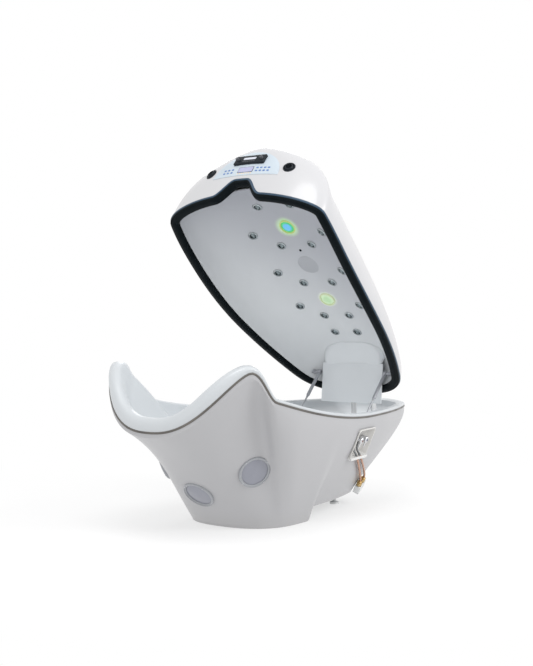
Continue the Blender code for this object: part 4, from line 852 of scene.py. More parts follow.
# Mixer: a chromed brass bar across the pocket with a boss for each valve, and on each boss a lobed grip
# with a short lever. A dull red and a dull blue button in the middle of the grips tell hot from cold.
GRIP_LOBES = 8
GRIP_RADIUS = 0.018
GRIP_LONG = 0.016
GRIP_DIP = 0.05
GRIP_POINTS = 96
GRIP_PROFILE = ((0.55, 0.0), (0.93, 0.0), (1.0, 0.002), (1.0, 0.010), (0.94, 0.0135),
                (0.8, GRIP_LONG - 0.0006), (0.45, GRIP_LONG), (0.44, GRIP_LONG - 0.0012))
LEVER_RADIUS = 0.0042
LEVER_TAPER = 0.0008
LEVER_LONG = 0.029
LEVER_SHARES = (0.0, 0.5, 0.93, 0.98, 1.0)
LEVER_AT = (-0.010, 0.008)
LEVER_POINTS = 24
BAR_GROOVE = 0.0012
BUTTON_RADIUS = 0.0076
BUTTON_TINTS = {"hot": (0.20, 0.09, 0.08), "cold": (0.08, 0.10, 0.18)}


def joined(name, parts):
    """One piece from several that touch or overlap."""
    work = bmesh.new()
    for part in parts:
        work.from_mesh(part.data)
        bpy.data.objects.remove(part, do_unlink=True)
    return made(name, work)


def waved(radius, height, points, dip=0.0, waves=0):
    """Ring of points at a height, its radius dipping by a share in even waves."""
    ring = []
    for k in range(points):
        t = math.tau * k / points
        reach = radius * (1.0 - dip * (0.5 + 0.5 * math.cos(waves * t)))
        ring.append((reach * math.cos(t), reach * math.sin(t), height))
    return ring


chrome = finish("bright_chrome", (0.72, 0.73, 0.75), (0.60, 0.61, 0.64), (0.06, 0.14), patch=20.0,
                grain=700.0, bump=0.02, Metallic=1.0)
low, high = local_box("mixer_body", pocket_turn)
bar_radius = 0.5 * (high[1] - low[1])
bar_half = 0.5 * (high[0] - low[0])
bar_place = pocket_turn @ shift(0.5 * (low[0] + high[0]), 0.5 * (low[1] + high[1]), low[2] + bar_radius)
bar_profile = [(0.0, -bar_half), (bar_radius - 0.002, -bar_half), (bar_radius, -bar_half + 0.002)]
for centre in (-0.5 * bar_half, 0.0, 0.5 * bar_half):
    bar_profile += [(bar_radius, centre - 0.010), (bar_radius - BAR_GROOVE, centre - 0.009),
                    (bar_radius - BAR_GROOVE, centre + 0.009), (bar_radius, centre + 0.010)]
bar_profile += [(bar_radius, bar_half - 0.002), (bar_radius - 0.002, bar_half), (0.0, bar_half)]
mixer_parts = [turn("bar", bar_profile, bar_place @ about("Y", 90.0), segments=40)]
for name, tint in BUTTON_TINTS.items():
    pivot = Vector(joints["valve_turn_" + name]["pos_m"])
    spot = Matrix.Translation(pivot) @ pocket_turn
    level = (pocket_turn.inverted() @ pivot).z
    boss_low = low[2] + bar_radius - level
    boss_high = high[2] - level
    mixer_parts.append(turn("boss", [(0.0, boss_low), (0.0095, boss_low), (0.0095, boss_high - 0.006),
                                     (0.0115, boss_high - 0.005), (0.0115, boss_high - 0.001),
                                     (0.0105, boss_high), (0.0, boss_high)], spot, segments=32))
    body = "valve_handle_" + name
    grip_low = local_box(body, pocket_turn)[0][2] - level
    rings = [waved(GRIP_RADIUS * share, grip_low + height, GRIP_POINTS, GRIP_DIP * share, GRIP_LOBES)
             for share, height in GRIP_PROFILE]
    grip = loft("grip", rings, ends=True, place=spot)
    lever = loft("lever", [waved(LEVER_RADIUS - LEVER_TAPER * share, LEVER_LONG * share, LEVER_POINTS)
                           for share in LEVER_SHARES], ends=True,
                 place=spot @ shift(y=LEVER_AT[0], z=grip_low + LEVER_AT[1]) @ about("X", 90.0))
    dress(joined("valve_grip_" + name, [grip, lever]), chrome, body, "chrome", body)
    enamel = finish("enamel_" + name, tint, tuple(0.8 * value for value in tint), (0.2, 0.3), patch=80.0,
                    grain=600.0, bump=0.03)
    button = turn("valve_button_" + name, [(0.0, 0.0), (BUTTON_RADIUS, 0.0), (BUTTON_RADIUS, 0.0008)]
                  + arc(0.024, (0.0, -0.0210), 71.5, 90.0, 6)[:-1] + [(0.0, 0.003)],
                  spot @ shift(z=grip_low + GRIP_LONG - 0.001), segments=40)
    dress(button, enamel, body, "black_plastic")
dress(joined("mixer_bar", mixer_parts), chrome, "base", "chrome", "mixer_body")

# Supply pipes: two bent copper tubes from the mixer over the pocket's ledge and down the hull, with brass
# union nuts and their olives, into the white inlet block that takes the building's water.
SUPPLY_RADIUS = 0.006
SUPPLY_STARTS = {"hot": (-1.0, -0.040), "cold": (1.0, 0.0)}
SUPPLY_RUN = ((0.290, 0.207), (0.372, 0.174), (0.392, 0.142))
SUPPLY_CLEAR = (0.018, 0.020)
SUPPLY_SPLIT = 0.019
POCKET_RIM = 0.004
BAR_UP = 0.020
FIT = 0.0003
TAIL_END = -0.066
NUT_POINTS = 72
NUT_CHAMFER = 0.0025
NUT_FACE = 0.86
OLIVE_HALF = 0.004


def touch(skin, start, heading):
    """Point and normal where a line meets a skin, averaged over a hair's breadth so no seam is missed.

    The normal faces back along the line."""
    heading = Vector(heading).normalized()
    hair = Vector((0.002, 0.0, 0.0)) if abs(heading.y) > 0.9 else Vector((0.0, 0.002, 0.0))
    hits = [skin.ray_cast(Vector(start) + offset, heading) for offset in (-hair, hair)]
    point = 0.5 * (hits[0][0] + hits[1][0])
    normal = (hits[0][1] + hits[1][1]).normalized()
    return point, (-normal if normal.dot(heading) > 0.0 else normal)


def corner_cut(points, times):
    """Path through a few points with its corners cut again and again, its ends kept."""
    path = [np.array(point, float) for point in points]
    for _ in range(times):
        rounded = [path[0]]
        for first, second in zip(path[:-1], path[1:]):
            rounded += [0.75 * first + 0.25 * second, 0.25 * first + 0.75 * second]
        path = rounded + [path[-1]]
    return path


def tube(name, path, radius, sides=5, closed=False):
    """Round tube along a path; an open one has its ends capped."""
    curve = path_curve(name, path, closed)
    curve.bevel_depth = radius
    curve.bevel_resolution = sides
    curve.use_fill_caps = not closed
    return plain_mesh(add(name, curve))


def hexagon(across, reach, height):
    """Ring of points round a hexagon, cut back to a circle where it reaches past it."""
    ring = []
    for k in range(NUT_POINTS):
        t = math.tau * k / NUT_POINTS
        flat = across / math.cos((t % math.radians(60.0)) - math.radians(30.0))
        ring.append((min(flat, reach) * math.cos(t), min(flat, reach) * math.sin(t), height))
    return ring


copper = finish("copper_tube", (0.58, 0.33, 0.22), (0.40, 0.20, 0.12), (0.22, 0.42), patch=38.0, grain=600.0,
                Metallic=1.0)
brass = finish("brass_nut", (0.66, 0.49, 0.24), (0.48, 0.33, 0.14), (0.2, 0.4), patch=60.0, grain=700.0,
               Metallic=1.0)
tail_steel = finish("tail_steel", (0.22, 0.23, 0.24), (0.13, 0.135, 0.14), (0.25, 0.4), patch=160.0,
                    grain=900.0, bump=0.3, Metallic=0.9)
origin = pocket_place @ shift(z=-POCKET_RIM)
bar_height = (origin.inverted() @ bar_place.translation).z
nut_feet = {}
for name, (side, start_x) in SUPPLY_STARTS.items():
    path = [origin @ Vector(spot) for spot in ((start_x, BAR_UP - bar_radius - FIT, bar_height),
                                               (start_x, -0.040, bar_height), (start_x, -0.062, 0.016))]
    for before, (x, z), after, clear in zip(SUPPLY_RUN, SUPPLY_RUN[1:], SUPPLY_RUN[2:] + SUPPLY_RUN[-1:],
                                            SUPPLY_CLEAR):
        ahead = np.array(after) - np.array(before)
        aside = np.array((-ahead[1], ahead[0])) / np.linalg.norm(ahead) * side * SUPPLY_SPLIT
        point, normal = touch(hull_skin, (x + aside[0], -2.0, z + aside[1]), (0.0, 1.0, 0.0))
        path.append(point + normal * clear)
    path = corner_cut(path, times=4)
    inside = sum(1 for spot in path if (origin.inverted() @ Vector(spot)).y > TAIL_END)
    tail = tube("steel_tail_" + name, path[:inside + 1], SUPPLY_RADIUS - 0.0005)
    dress(tail, tail_steel, "base", "chrome")
    pipe = tube("copper_pipe_" + name, path[inside:], SUPPLY_RADIUS)
    dress(pipe, copper, "base", "copper", "supply_pipe_" + name)
    middle = Vector(corners_of("union_nut_" + name).mean(axis=0))
    place = Matrix.Translation(middle) @ frame_along(path[-1] - path[-3])
    outer, _, half = turned_size("union_nut_" + name, place)
    rings = [hexagon(outer * math.cos(math.radians(30.0)), reach, height) for reach, height in (
        (SUPPLY_RADIUS + 0.0004, -half), (NUT_FACE * outer, -half), (outer, -half + NUT_CHAMFER),
        (outer, half - NUT_CHAMFER), (NUT_FACE * outer, half), (SUPPLY_RADIUS + 0.0004, half))]
    nut = settle(loft("brass_nut_" + name, rings, wrap=True, place=place), sharp=25.0)
    dress(nut, brass, "base", "brass", "union_nut_" + name)
    nut_feet[name] = place @ shift(z=half)
    bore = SUPPLY_RADIUS + 0.0002
    olive = turn("olive_" + name, [(bore, -OLIVE_HALF)] + arc(0.0042, (bore, 0.0), -80.0, 80.0, 8)
                 + [(bore, OLIVE_HALF)], place @ shift(z=-half - 0.003), segments=40)
    dress(olive, brass, "base", "brass")

# Chassis and machinery: a painted steel frame under the bed with the pump, the steam boiler and the control
# box on it, and two screw feet. They are seen only from below and keep their plain workshop shapes.
frame_paint = finish("frame_paint", (0.16, 0.17, 0.18), (0.11, 0.115, 0.12), (0.4, 0.6), patch=16.0,
                     grain=420.0, bump=0.12)
steel = finish("satin_steel", (0.50, 0.51, 0.53), (0.38, 0.39, 0.41), (0.3, 0.45), patch=24.0, grain=800.0,
               Metallic=0.9)
box_grey = finish("box_grey", (0.50, 0.51, 0.52), (0.44, 0.45, 0.46), (0.45, 0.6), patch=8.0, grain=500.0,
                  bump=0.15)
drain_white = finish("drain_plastic", (0.72, 0.73, 0.73), (0.66, 0.67, 0.67), (0.35, 0.5), patch=18.0,
                     grain=400.0, bump=0.08)
for material, carried in ((frame_paint, ("chassis", "pump")), (steel, ("steam_boiler",)),
                          (box_grey, ("control_box",)), (chrome, ("drain_strainer",)),
                          (drain_white, ("drain_pipe", "levelling_foot_left", "levelling_foot_right"))):
    for name in carried:
        nodes[name].data.materials.clear()
        nodes[name].data.materials.append(material)
        shade(nodes[name].data, sharp=30.0)

# Lid: an outer dome in white gel coat over an inner dome in satin grey, both moulded and bonded at the edge.
# They are laid out closed, as the lid was moulded, and then turned open about the hinge.
LID_GAP = 0.029
LID_HEAD_START = -0.664
LID_HEAD_DEPTH = 0.14
LID_TAIL_START = 0.62
LID_TAIL_DEPTH = 0.21
LID_HEAD_RISE = 0.046
LID_RISE_X = -0.715
LID_RISE_RUN = 0.27
NOTCH_HEIGHT = 0.095
NOTCH_HALF_TOP = 0.039
NOTCH_HALF_FOOT = 0.149
SEAL_WIDTH = 0.050
SEAL_HEIGHT = 0.026
CROWN_HEAD = (-0.742, 1.088)
CROWN_TAIL = (0.55, 0.85)
LINER_CROWN_HEAD = (-0.42, 0.905)
LINER_CROWN_TAIL = (0.50, 0.775)
LID_SQUARE = 1.9
LID_HEAD_SQUARE = 2.45
LINER_SQUARE = 2.4
FRONT_BLEND = 0.08
LID_WALL = 0.007
LINER_WALL = 0.005
LID_STATIONS = 150
LID_ROWS = 44

hinge = joints["lid_hinge"]
hinge_at = Vector(hinge["pos_m"])
opened = Matrix.Translation(hinge_at) @ about("Y", -hinge["range_deg"][0]) @ Matrix.Translation(-hinge_at)


def lid_half_width(x):
    """Half width of the lid's plan, rounded off at both ends inside the rim's plan."""
    head = max(0.0, LID_HEAD_START - x) / LID_HEAD_DEPTH
    tail = max(0.0, x - LID_TAIL_START) / LID_TAIL_DEPTH
    return half_width(x) * math.sqrt(max(0.0, 1.0 - head * head)) * max(0.0, 1.0 - tail ** 3) ** (1.0 / 3.0)


def lid_edge_height(x):
    """Height of the lid's edge over the rim, without the neck notch."""
    return sheer(x) + LID_GAP + SEAL_HEIGHT + LID_HEAD_RISE * smooth((LID_RISE_X - x) / LID_RISE_RUN)


def lid_rim_height(x):
    if x >= LID_HEAD_START:
        return lid_edge_height(x)
    slope = (NOTCH_HALF_FOOT - lid_half_width(x)) / (NOTCH_HALF_FOOT - NOTCH_HALF_TOP)
    return lid_edge_height(x) + NOTCH_HEIGHT * smooth(slope)


def dome_rings(loop, plan, crown_head, crown_tail, square, head_square):
    """A dome over the lid's rim, drawn in from the plan to a crown line between two points (x, z)."""
    low = np.array([lid_edge_height(x) for x in loop[:, 0]])
    head_x = loop[:, 0].min()
    share = (loop[:, 0] - head_x) / (loop[:, 0].max() - head_x)
    crown_x = crown_head[0] + (crown_tail[0] - crown_head[0]) * share
    crown_z = crown_head[1] + (crown_tail[1] - crown_head[1]) * share
    front = [smooth((LID_HEAD_START + FRONT_BLEND - x) / (2 * FRONT_BLEND)) for x in loop[:, 0]]
    power = square + (head_square - square) * np.array(front)
    starts = np.arcsin(np.clip((loop[:, 2] - low) / (crown_z - low), 0.0, 1.0) ** (power / 2.0))
    rings = []
    for row in range(LID_ROWS + 1):
        turned = starts + (0.5 * math.pi - starts) * row / LID_ROWS
        inward = 1.0 - np.maximum(np.cos(turned), 0.0) ** (2.0 / power)
        up = np.sin(turned) ** (2.0 / power)
        rings.append(np.column_stack([plan[:, 0] + (crown_x - plan[:, 0]) * inward,
                                      plan[:, 1] * (1.0 - inward), low + (crown_z - low) * up]))
    return rings


def open_lid(piece):
    """Turn a piece that was laid out in the closed lid to where the open lid holds it."""
    piece.data.transform(opened)
    return piece


lid_rim = closed_rim(LID_HEAD_START - LID_HEAD_DEPTH, 0.0, LID_TAIL_START + LID_TAIL_DEPTH, lid_half_width,
                     lid_rim_height, LID_STATIONS)
lid_out = outward(lid_rim)
dome_skin_rings = dome_rings(lid_rim, lid_rim, CROWN_HEAD, CROWN_TAIL, LID_SQUARE, LID_HEAD_SQUARE)
liner_skin_rings = dome_rings(lid_rim, lid_rim - lid_out * SEAL_WIDTH, LINER_CROWN_HEAD, LINER_CROWN_TAIL,
                              LINER_SQUARE, LINER_SQUARE)
dome_skin = skin_of(dome_skin_rings)
liner_skin = skin_of(liner_skin_rings)
dome = loft("lid_dome", dome_skin_rings, weld=True)
thicken(dome, LID_WALL, offset=1.0)
liner = loft("lid_lining", liner_skin_rings, weld=True)
thicken(liner, LINER_WALL, offset=-1.0)
lid_white = finish("lid_gel_coat", (0.535, 0.535, 0.548), (0.513, 0.513, 0.526), (0.28, 0.36), patch=1.6,
                   grain=160.0, bump=0.03, Coat_Weight=0.35, Coat_Roughness=0.08)

# Seal: a black rubber bulb all round the edge of the lid, extruded with a flat back and pressed onto the
# edge. Along its outer side runs a thin dark blue strip whose colour is a painted highlight: the bluish sheen
# of light on the seal's outer edge.
SEAL_SEAT = 0.0024
SEAL_SECTION = ((1.0, 0.0), (1.0, 0.30), (0.96, 0.62), (0.84, 0.88), (0.66, 1.0), (0.42, 1.0), (0.26, 0.90),
                (0.17, 0.74), (0.13, 0.80), (0.05, 0.74), (0.0, 0.50))
SEAL_STEPS = 4
LIP_IN = 0.0045
LIP_DOWN = 0.0065
LIP_RADIUS = 0.0080

stand = upright(lid_rim)
seal_rings = [lid_rim - lid_out * (inward * SEAL_WIDTH) - stand * (SEAL_SEAT + down * SEAL_HEIGHT)
              for inward, down in [(0.0, 0.0)] + eased_path(SEAL_SECTION, SEAL_STEPS)]
seal = settle(open_lid(loft("lid_seal_bulb", seal_rings, wrap=True)), sharp=60.0)
rubber = finish("seal_rubber", (0.004, 0.006, 0.007), (0.007, 0.009, 0.010), (0.40, 0.52), patch=11.0,
                grain=420.0, bump=0.08, Specular_IOR_Level=0.05, Specular_Tint=(0.6, 0.8, 1.0, 1.0))
dress(seal, rubber, "lid", "black_rubber", "lid_seal")
# The strip's dark blue colour is a painted highlight: it stands for the bluish sheen of light along the
# seal's outer edge.
lip_rubber = finish("lip_rubber", (0.034, 0.060, 0.095), (0.026, 0.046, 0.074), (0.24, 0.34), patch=14.0,
                    grain=420.0, Specular_Tint=(0.6, 0.8, 1.0, 1.0))
lip = tube("seal_lip", lid_rim - lid_out * LIP_IN - stand * LIP_DOWN, LIP_RADIUS, sides=4, closed=True)
dress(open_lid(lip), lip_rubber, "lid", "black_rubber")

# Spray bars: four pipes behind the lining, each with its row of chrome jets through it. A jet is a flanged
# cup with a swivel eye, and the eye's bore is set off the middle.
NOZZLE_RADIUS = 0.0275
NOZZLE_LIFT = 0.0004
NOZZLE_HOLE = 0.72
LINER_BORE = (-0.03, 0.03)
EYE_SHARE = 0.615
EYE_DOME = 1.08
EYE_BACK = -0.0085
SPRAY_PIPE_RADIUS = 0.009
SPRAY_PIPE_BACK = 0.020
SPRAY_OVERRUN = 0.030
SPRAY_ROWS = {"inner": ((0.303, 0.103), (0.454, 0.099), (0.604, 0.095), (0.743, 0.084), (0.816, 0.076)),
              "outer": ((0.398, 0.224), (0.550, 0.212), (0.693, 0.200))}


def on_lining(share, y=0.0):
    """Point and normal on the lining at a share of the way from the head end to the hinge."""
    return touch(liner_skin, (HEAD_X + (hinge_at.x - HEAD_X) * share, y, 0.0), (0.0, 0.0, 1.0))


def seat(point, normal):
    return Matrix.Translation(point) @ frame_along(normal)


def jet_cup():
    """Flanged cup of a jet, its flange on z = 0."""
    wide = NOZZLE_RADIUS
    return turn("jet", [(0.62 * wide, -0.012), (0.70 * wide, -0.012), (0.70 * wide, 0.0), (0.96 * wide, 0.0)]
                + arc(0.0016, (wide - 0.0016, 0.0018), -60.0, 70.0, 5)
                + [(0.80 * wide, 0.0052), (0.70 * wide, 0.0058), (0.66 * wide, 0.0046),
                   (0.62 * wide, 0.0010)], Matrix.Identity(4), segments=40)


def jet_eye():
    """Swivel eye of a jet with an off-centre bore."""
    wide = EYE_SHARE * NOZZLE_RADIUS
    dome = arc(EYE_DOME * wide, (0.0, EYE_BACK), 22.0, 90.0, 10)
    eye = turn("eye", [(0.0, -0.010), (wide, -0.010), (wide, -0.002)] + dome[1:-1]
               + [(0.0, EYE_BACK + EYE_DOME * wide)], Matrix.Identity(4), segments=40)
    cut(eye, [turn("bore", [(0.0, -0.004), (0.30 * wide, -0.004), (0.42 * wide, 0.02), (0.0, 0.02)],
                   shift(x=0.28 * wide) @ about("Y", 16.0), segments=24)])
    return eye


jet_chrome = finish("jet_chrome", (0.42, 0.45, 0.46), (0.32, 0.35, 0.36), (0.16, 0.3), patch=40.0,
                    grain=900.0, bump=0.03, Metallic=1.0)
# The eyes get a darker copy of the jet chrome: painted shade for the eye's recess and bore.
eye_chrome = finish("eye_chrome", (0.24, 0.28, 0.29), (0.16, 0.19, 0.20), (0.16, 0.32), patch=50.0,
                    grain=900.0, bump=0.03, Metallic=1.0)
liner_cutters = []
for side, sign in (("left", 1.0), ("right", -1.0)):
    for row, spots in SPRAY_ROWS.items():
        places = []
        path = []
        for share, y in spots:
            point, normal = on_lining(share, sign * y)
            places.append(seat(point + normal * NOZZLE_LIFT, normal))
            path.append(point - normal * (LINER_WALL + SPRAY_PIPE_BACK))
        liner_cutters += [drill(place, NOZZLE_HOLE * NOZZLE_RADIUS, LINER_BORE, segments=24)
                          for place in places]
        path.insert(0, path[0] + (path[0] - path[1]).normalized() * SPRAY_OVERRUN)
        path.append(path[-1] + (path[-1] - path[-2]).normalized() * SPRAY_OVERRUN)
        bar = joined(row + "_jets_" + side, [tube("pipe", path, SPRAY_PIPE_RADIUS, sides=3),
                                             repeat("cups", jet_cup(), places, jet_chrome)])
        dress(open_lid(bar), jet_chrome, "lid", "chrome", "spray_bar_" + row + "_" + side)
        eyes = repeat(row + "_jet_eyes_" + side, jet_eye(), places, eye_chrome)
        dress(open_lid(eyes), eye_chrome, "lid", "chrome")

# Light-therapy lamps: two round lamps on the crown of the lining, each a cream plastic bezel, screwed on from
# behind, round a domed lens. The one at the head glows blue, the one at the foot pale green. Each bezel
# carries a painted glow of its lamp's light, and the head bezel a painted yellow-green tint from its lamp.
LED_SHARES = {"head": 0.390, "foot": 0.674}
LED_RING = 0.048
LED_SKIRT = 0.005
LED_HOLE = LED_RING - 0.004
LED_LENS = 0.039
LED_DOME = 0.0055
LED_SEGMENTS = 80
LED_SEEN = {"head": ((0.08, 0.36, 0.62), (0.04, 0.42, 0.14)),
            "foot": ((0.34, 0.50, 0.29), (0.42, 0.55, 0.36))}
# Bezel colour and painted glow per lamp; the head bezel's yellow-green tint is also painted lamp light.
BEZEL_COLOUR_AND_PAINTED_GLOW = {"head": ((0.50, 0.58, 0.26), (0.22, 0.30, 0.05)),
              "foot": ((0.62, 0.68, 0.46), (0.18, 0.22, 0.12))}


def away_from(tree, spot, at):
    """Distance of the place on the piece from a point."""
    return wire(tree, "ShaderNodeVectorMath", {0: spot, 1: at}, operation="DISTANCE").outputs["Value"]


def glowing_lens(name, middle, edge, at):
    """Lens lit from behind: one colour in the middle, another round it."""
    material = finish(name, middle, edge, (0.08, 0.14), patch=60.0, grain=500.0, bump=0.02, Coat_Weight=0.6,
                      Emission_Strength=0.55)
    tree, given, _ = workings(material)
    ring = ramp(tree, away_from(tree, where(tree), at), 0.55 * LED_LENS, 0.78 * LED_LENS, kind="LINEAR")
    glow = blend(tree, ring, (*middle, 1.0), (*edge, 1.0))
    tree.links.new(glow, given["Base Color"])
    tree.links.new(glow, given["Emission Color"])
    return material


led_places = {}
for name, share in LED_SHARES.items():
    point, normal = on_lining(share)
    place = seat(point, normal)
    led_places[name] = opened @ point
    liner_cutters.append(drill(place, LED_HOLE, LINER_BORE, segments=48))
    skirt = LED_RING - LED_SKIRT
    bezel = turn("led_bezel_" + name, [(LED_LENS, -0.018), (skirt, -0.018), (skirt, 0.0), (LED_RING, 0.0005)]
                 + arc(LED_SKIRT, (skirt, 0.0035), 0.0, 90.0, 6)
                 + [(LED_LENS + 0.004, 0.0080), (LED_LENS + 0.001, 0.0062), (LED_LENS, 0.004)], place,
                 LED_SEGMENTS)
    # The bezel's emission is a painted glow of its lamp's light falling on it.
    shown, lit = BEZEL_COLOUR_AND_PAINTED_GLOW[name]
    bezel_with_painted_glow = finish("led_bezel_" + name, shown, tuple(0.93 * part for part in shown), (0.25, 0.35),
                    patch=20.0, grain=400.0, bump=0.03, Emission_Color=(*lit, 1.0), Emission_Strength=0.5)
    dress(open_lid(bezel), bezel_with_painted_glow, "lid", "white_gloss", "led_ring_" + name)
    lens = LED_LENS - 0.0004
    pane = turn("led_pane_" + name, [(0.0, -0.014), (lens, -0.014), (lens, 0.001)]
                + [(lens * math.cos(t), 0.001 + LED_DOME * math.sin(t))
                   for t in np.linspace(0.15, 0.5 * math.pi, 12)[:-1]] + [(0.0, 0.001 + LED_DOME)], place,
                LED_SEGMENTS)
    glow = glowing_lens("led_glow_" + name, *LED_SEEN[name], led_places[name])
    dress(open_lid(pane), glow, "lid", "led_lens", "led_lens_" + name)

# Heater disc: a round radiant panel let flush into the lining between the lamps, and beside it a small
# black plastic temperature sensor. Both are pushed in from the front.
HEATER_SHARE = 0.534
HEATER_RADIUS = 0.065
HEATER_SKIRT = HEATER_RADIUS - 0.0035
SENSOR_SHARE = 0.479
# Painted shade on the lining darkens along this way, towards the head, from the first reach to the second;
# painted glows of the lamps' light lie round them.
PAINTED_SHADE_WAY = (0.0, -0.55, 1.0)
PAINTED_SHADE_START = 0.85
PAINTED_SHADE_FULL = 1.65
LAMP_HALOS = {"head": ((0.16, 0.34, 0.05, 1.0), 0.080), "foot": ((0.20, 0.24, 0.13, 1.0), 0.066)}

place = seat(*on_lining(HEATER_SHARE))
liner_cutters.append(drill(place, HEATER_RADIUS - 0.003, LINER_BORE, segments=48))
disc = turn("heater_plate", [(0.0, -0.012), (HEATER_SKIRT, -0.012), (HEATER_SKIRT, 0.0),
                             (HEATER_RADIUS, 0.0006), (HEATER_RADIUS - 0.0012, 0.0018),
                             (0.8 * HEATER_RADIUS, 0.0024), (0.0, 0.0030)], place, segments=80)
heater_grey = finish("heater_grey", (0.415, 0.428, 0.455), (0.397, 0.41, 0.436), (0.4, 0.5), patch=12.0,
                     grain=500.0, bump=0.06)
dress(open_lid(disc), heater_grey, "lid", "satin_grey", "heater_disc")
black = finish("black_plastic", (0.010, 0.014, 0.018), (0.016, 0.020, 0.025), (0.3, 0.42), patch=30.0,
               grain=700.0, bump=0.06, Specular_IOR_Level=0.12)
dot = turn("lid_sensor", [(0.0, -0.004), (0.005, -0.004), (0.005, 0.0), (0.008, 0.0), (0.0075, 0.0015),
                          (0.005, 0.0025), (0.0035, 0.006), (0.0, 0.007)],
           seat(*on_lining(SENSOR_SHARE)), segments=28)
dress(open_lid(dot), black, "lid", "black_plastic")


def lit_lining():
    """Satin grey lining with painted shade, darker towards the head, and the lamps' light painted on it round
    them as a glow.
    """
    material = finish("lid_lining", (0.72, 0.737, 0.75), (0.695, 0.712, 0.725), (0.42, 0.52), patch=2.0,
                      grain=420.0, Emission_Strength=0.9)
    tree, given, colour = workings(material)
    spot = where(tree)
    height = wire(tree, "ShaderNodeVectorMath", {0: spot, 1: PAINTED_SHADE_WAY}, operation="DOT_PRODUCT")
    painted_shade = ramp(tree, height.outputs["Value"], PAINTED_SHADE_START, PAINTED_SHADE_FULL)
    # Painted shade: the lining's colour darkens towards the head.
    tree.links.new(blend(tree, painted_shade, colour, (0.405, 0.418, 0.455, 1.0)), given["Base Color"])
    halos = []
    for name, (tint, reach) in LAMP_HALOS.items():
        near = ramp(tree, away_from(tree, spot, led_places[name]), reach, LED_HOLE)
        halos.append(blend(tree, near, (0.0, 0.0, 0.0, 1.0), tint))
    tree.links.new(blend(tree, 1.0, *halos, kind="ADD"), given["Emission Color"])
    return material


# Inlet block: a white nylon manifold with rounded edges under the union nuts, each nut on a black washer.
# It is screwed to the hull, and the building's hoses screw into its lower face.
INLET_ROUND = 0.005
WASHER_RADIUS = 0.0135
WASHER_BORE = SUPPLY_RADIUS + 0.0005
WASHER_THICK = 0.0028
EDGE_TURN = 40.0
ROUND_STEPS = 3


def softened(name, node, width):
    """A node's own shape with its flat faces merged and its edges rounded."""
    work = bmesh.new()
    work.from_mesh(nodes[node].data)
    bmesh.ops.remove_doubles(work, verts=work.verts, dist=0.00001)
    bmesh.ops.dissolve_limit(work, angle_limit=math.radians(1.0), verts=work.verts, edges=work.edges)
    edges = [edge for edge in work.edges
             if edge.is_manifold and edge.calc_face_angle() > math.radians(EDGE_TURN)]
    bmesh.ops.bevel(work, geom=edges, offset=width, segments=ROUND_STEPS, profile=0.5, affect="EDGES",
                    clamp_overlap=True)
    return made(name, work, sharp=45.0)


manifold = softened("inlet_manifold", "inlet_block", INLET_ROUND)
dress(manifold, drain_white, "base", "white_gloss", "inlet_block")
for name, spot in nut_feet.items():
    washer = turn("inlet_washer_" + name, [(WASHER_BORE, -WASHER_THICK), (WASHER_RADIUS, -WASHER_THICK),
                                           (WASHER_RADIUS, 0.0), (WASHER_BORE, 0.0)], spot, segments=40)
    dress(washer, black, "base", "black_plastic")

# Control panel: a pale blue printed sheet, let into the head wall of the lid, with a display in a thin dark
# frame, two fields of soft keys and a row of indicator lamps.
PANEL_HALF = 0.205
PANEL_LOW_Z = 0.850
PANEL_TALL = 0.170
PANEL_HUB = (0.0, 0.900)
PANEL_PROUD = 0.002
PANEL_ARC_POINTS = 81
PANEL_EDGE_POINTS = 42
PANEL_BITE = 0.0006
SHEET_EASE = 0.0007
SHEET_RINGS = 8
SCREEN_AT = (0.0, 0.888)
SCREEN_WIDE = 0.090
SCREEN_TALL = 0.034
SCREEN_FRAME = 0.006
KEY_SIZE = (0.0135, 0.0095, 0.0014)
KEY_ROWS = (0.876, 0.897)
KEY_COLUMNS = (0.137, 0.112, 0.087, -0.070, -0.093, -0.116, -0.139)
INDICATOR_Z = 0.862
INDICATOR_STEP = 0.014
INDICATORS = range(-3, 4)


def on_head_wall(y, z, lift=0.0):
    """Point at a height over the head wall of the lid, and the wall's normal there."""
    point, normal = touch(dome_skin, (-2.0, y, z), (1.0, 0.0, 0.0))
    return point + normal * lift, normal


def draped(name, outline, hub, lift, thick):
    """Sheet laid on the head wall inside an outline of (y, z) points, its edge eased."""
    def ring(share, height):
        return [on_head_wall(hub[0] + (y - hub[0]) * share, hub[1] + (z - hub[1]) * share, height)[0]
                for y, z in outline]
    top = lift + thick
    rings = [ring(share, top) for share in np.linspace(0.0, 0.992, SHEET_RINGS)]
    rings += [ring(0.998, top - 0.3 * SHEET_EASE), ring(1.0, top - SHEET_EASE), ring(1.0, lift),
              ring(0.0, lift)]
    return settle(open_lid(loft(name, rings, wrap=True, weld=True)))


def screen_outline(more, radius):
    """Outline of the display, widened all round."""
    ring = round_rect(SCREEN_WIDE + more, SCREEN_TALL + more, radius, 0.0)
    return [(SCREEN_AT[0] + y, SCREEN_AT[1] + z) for y, z, _ in ring]


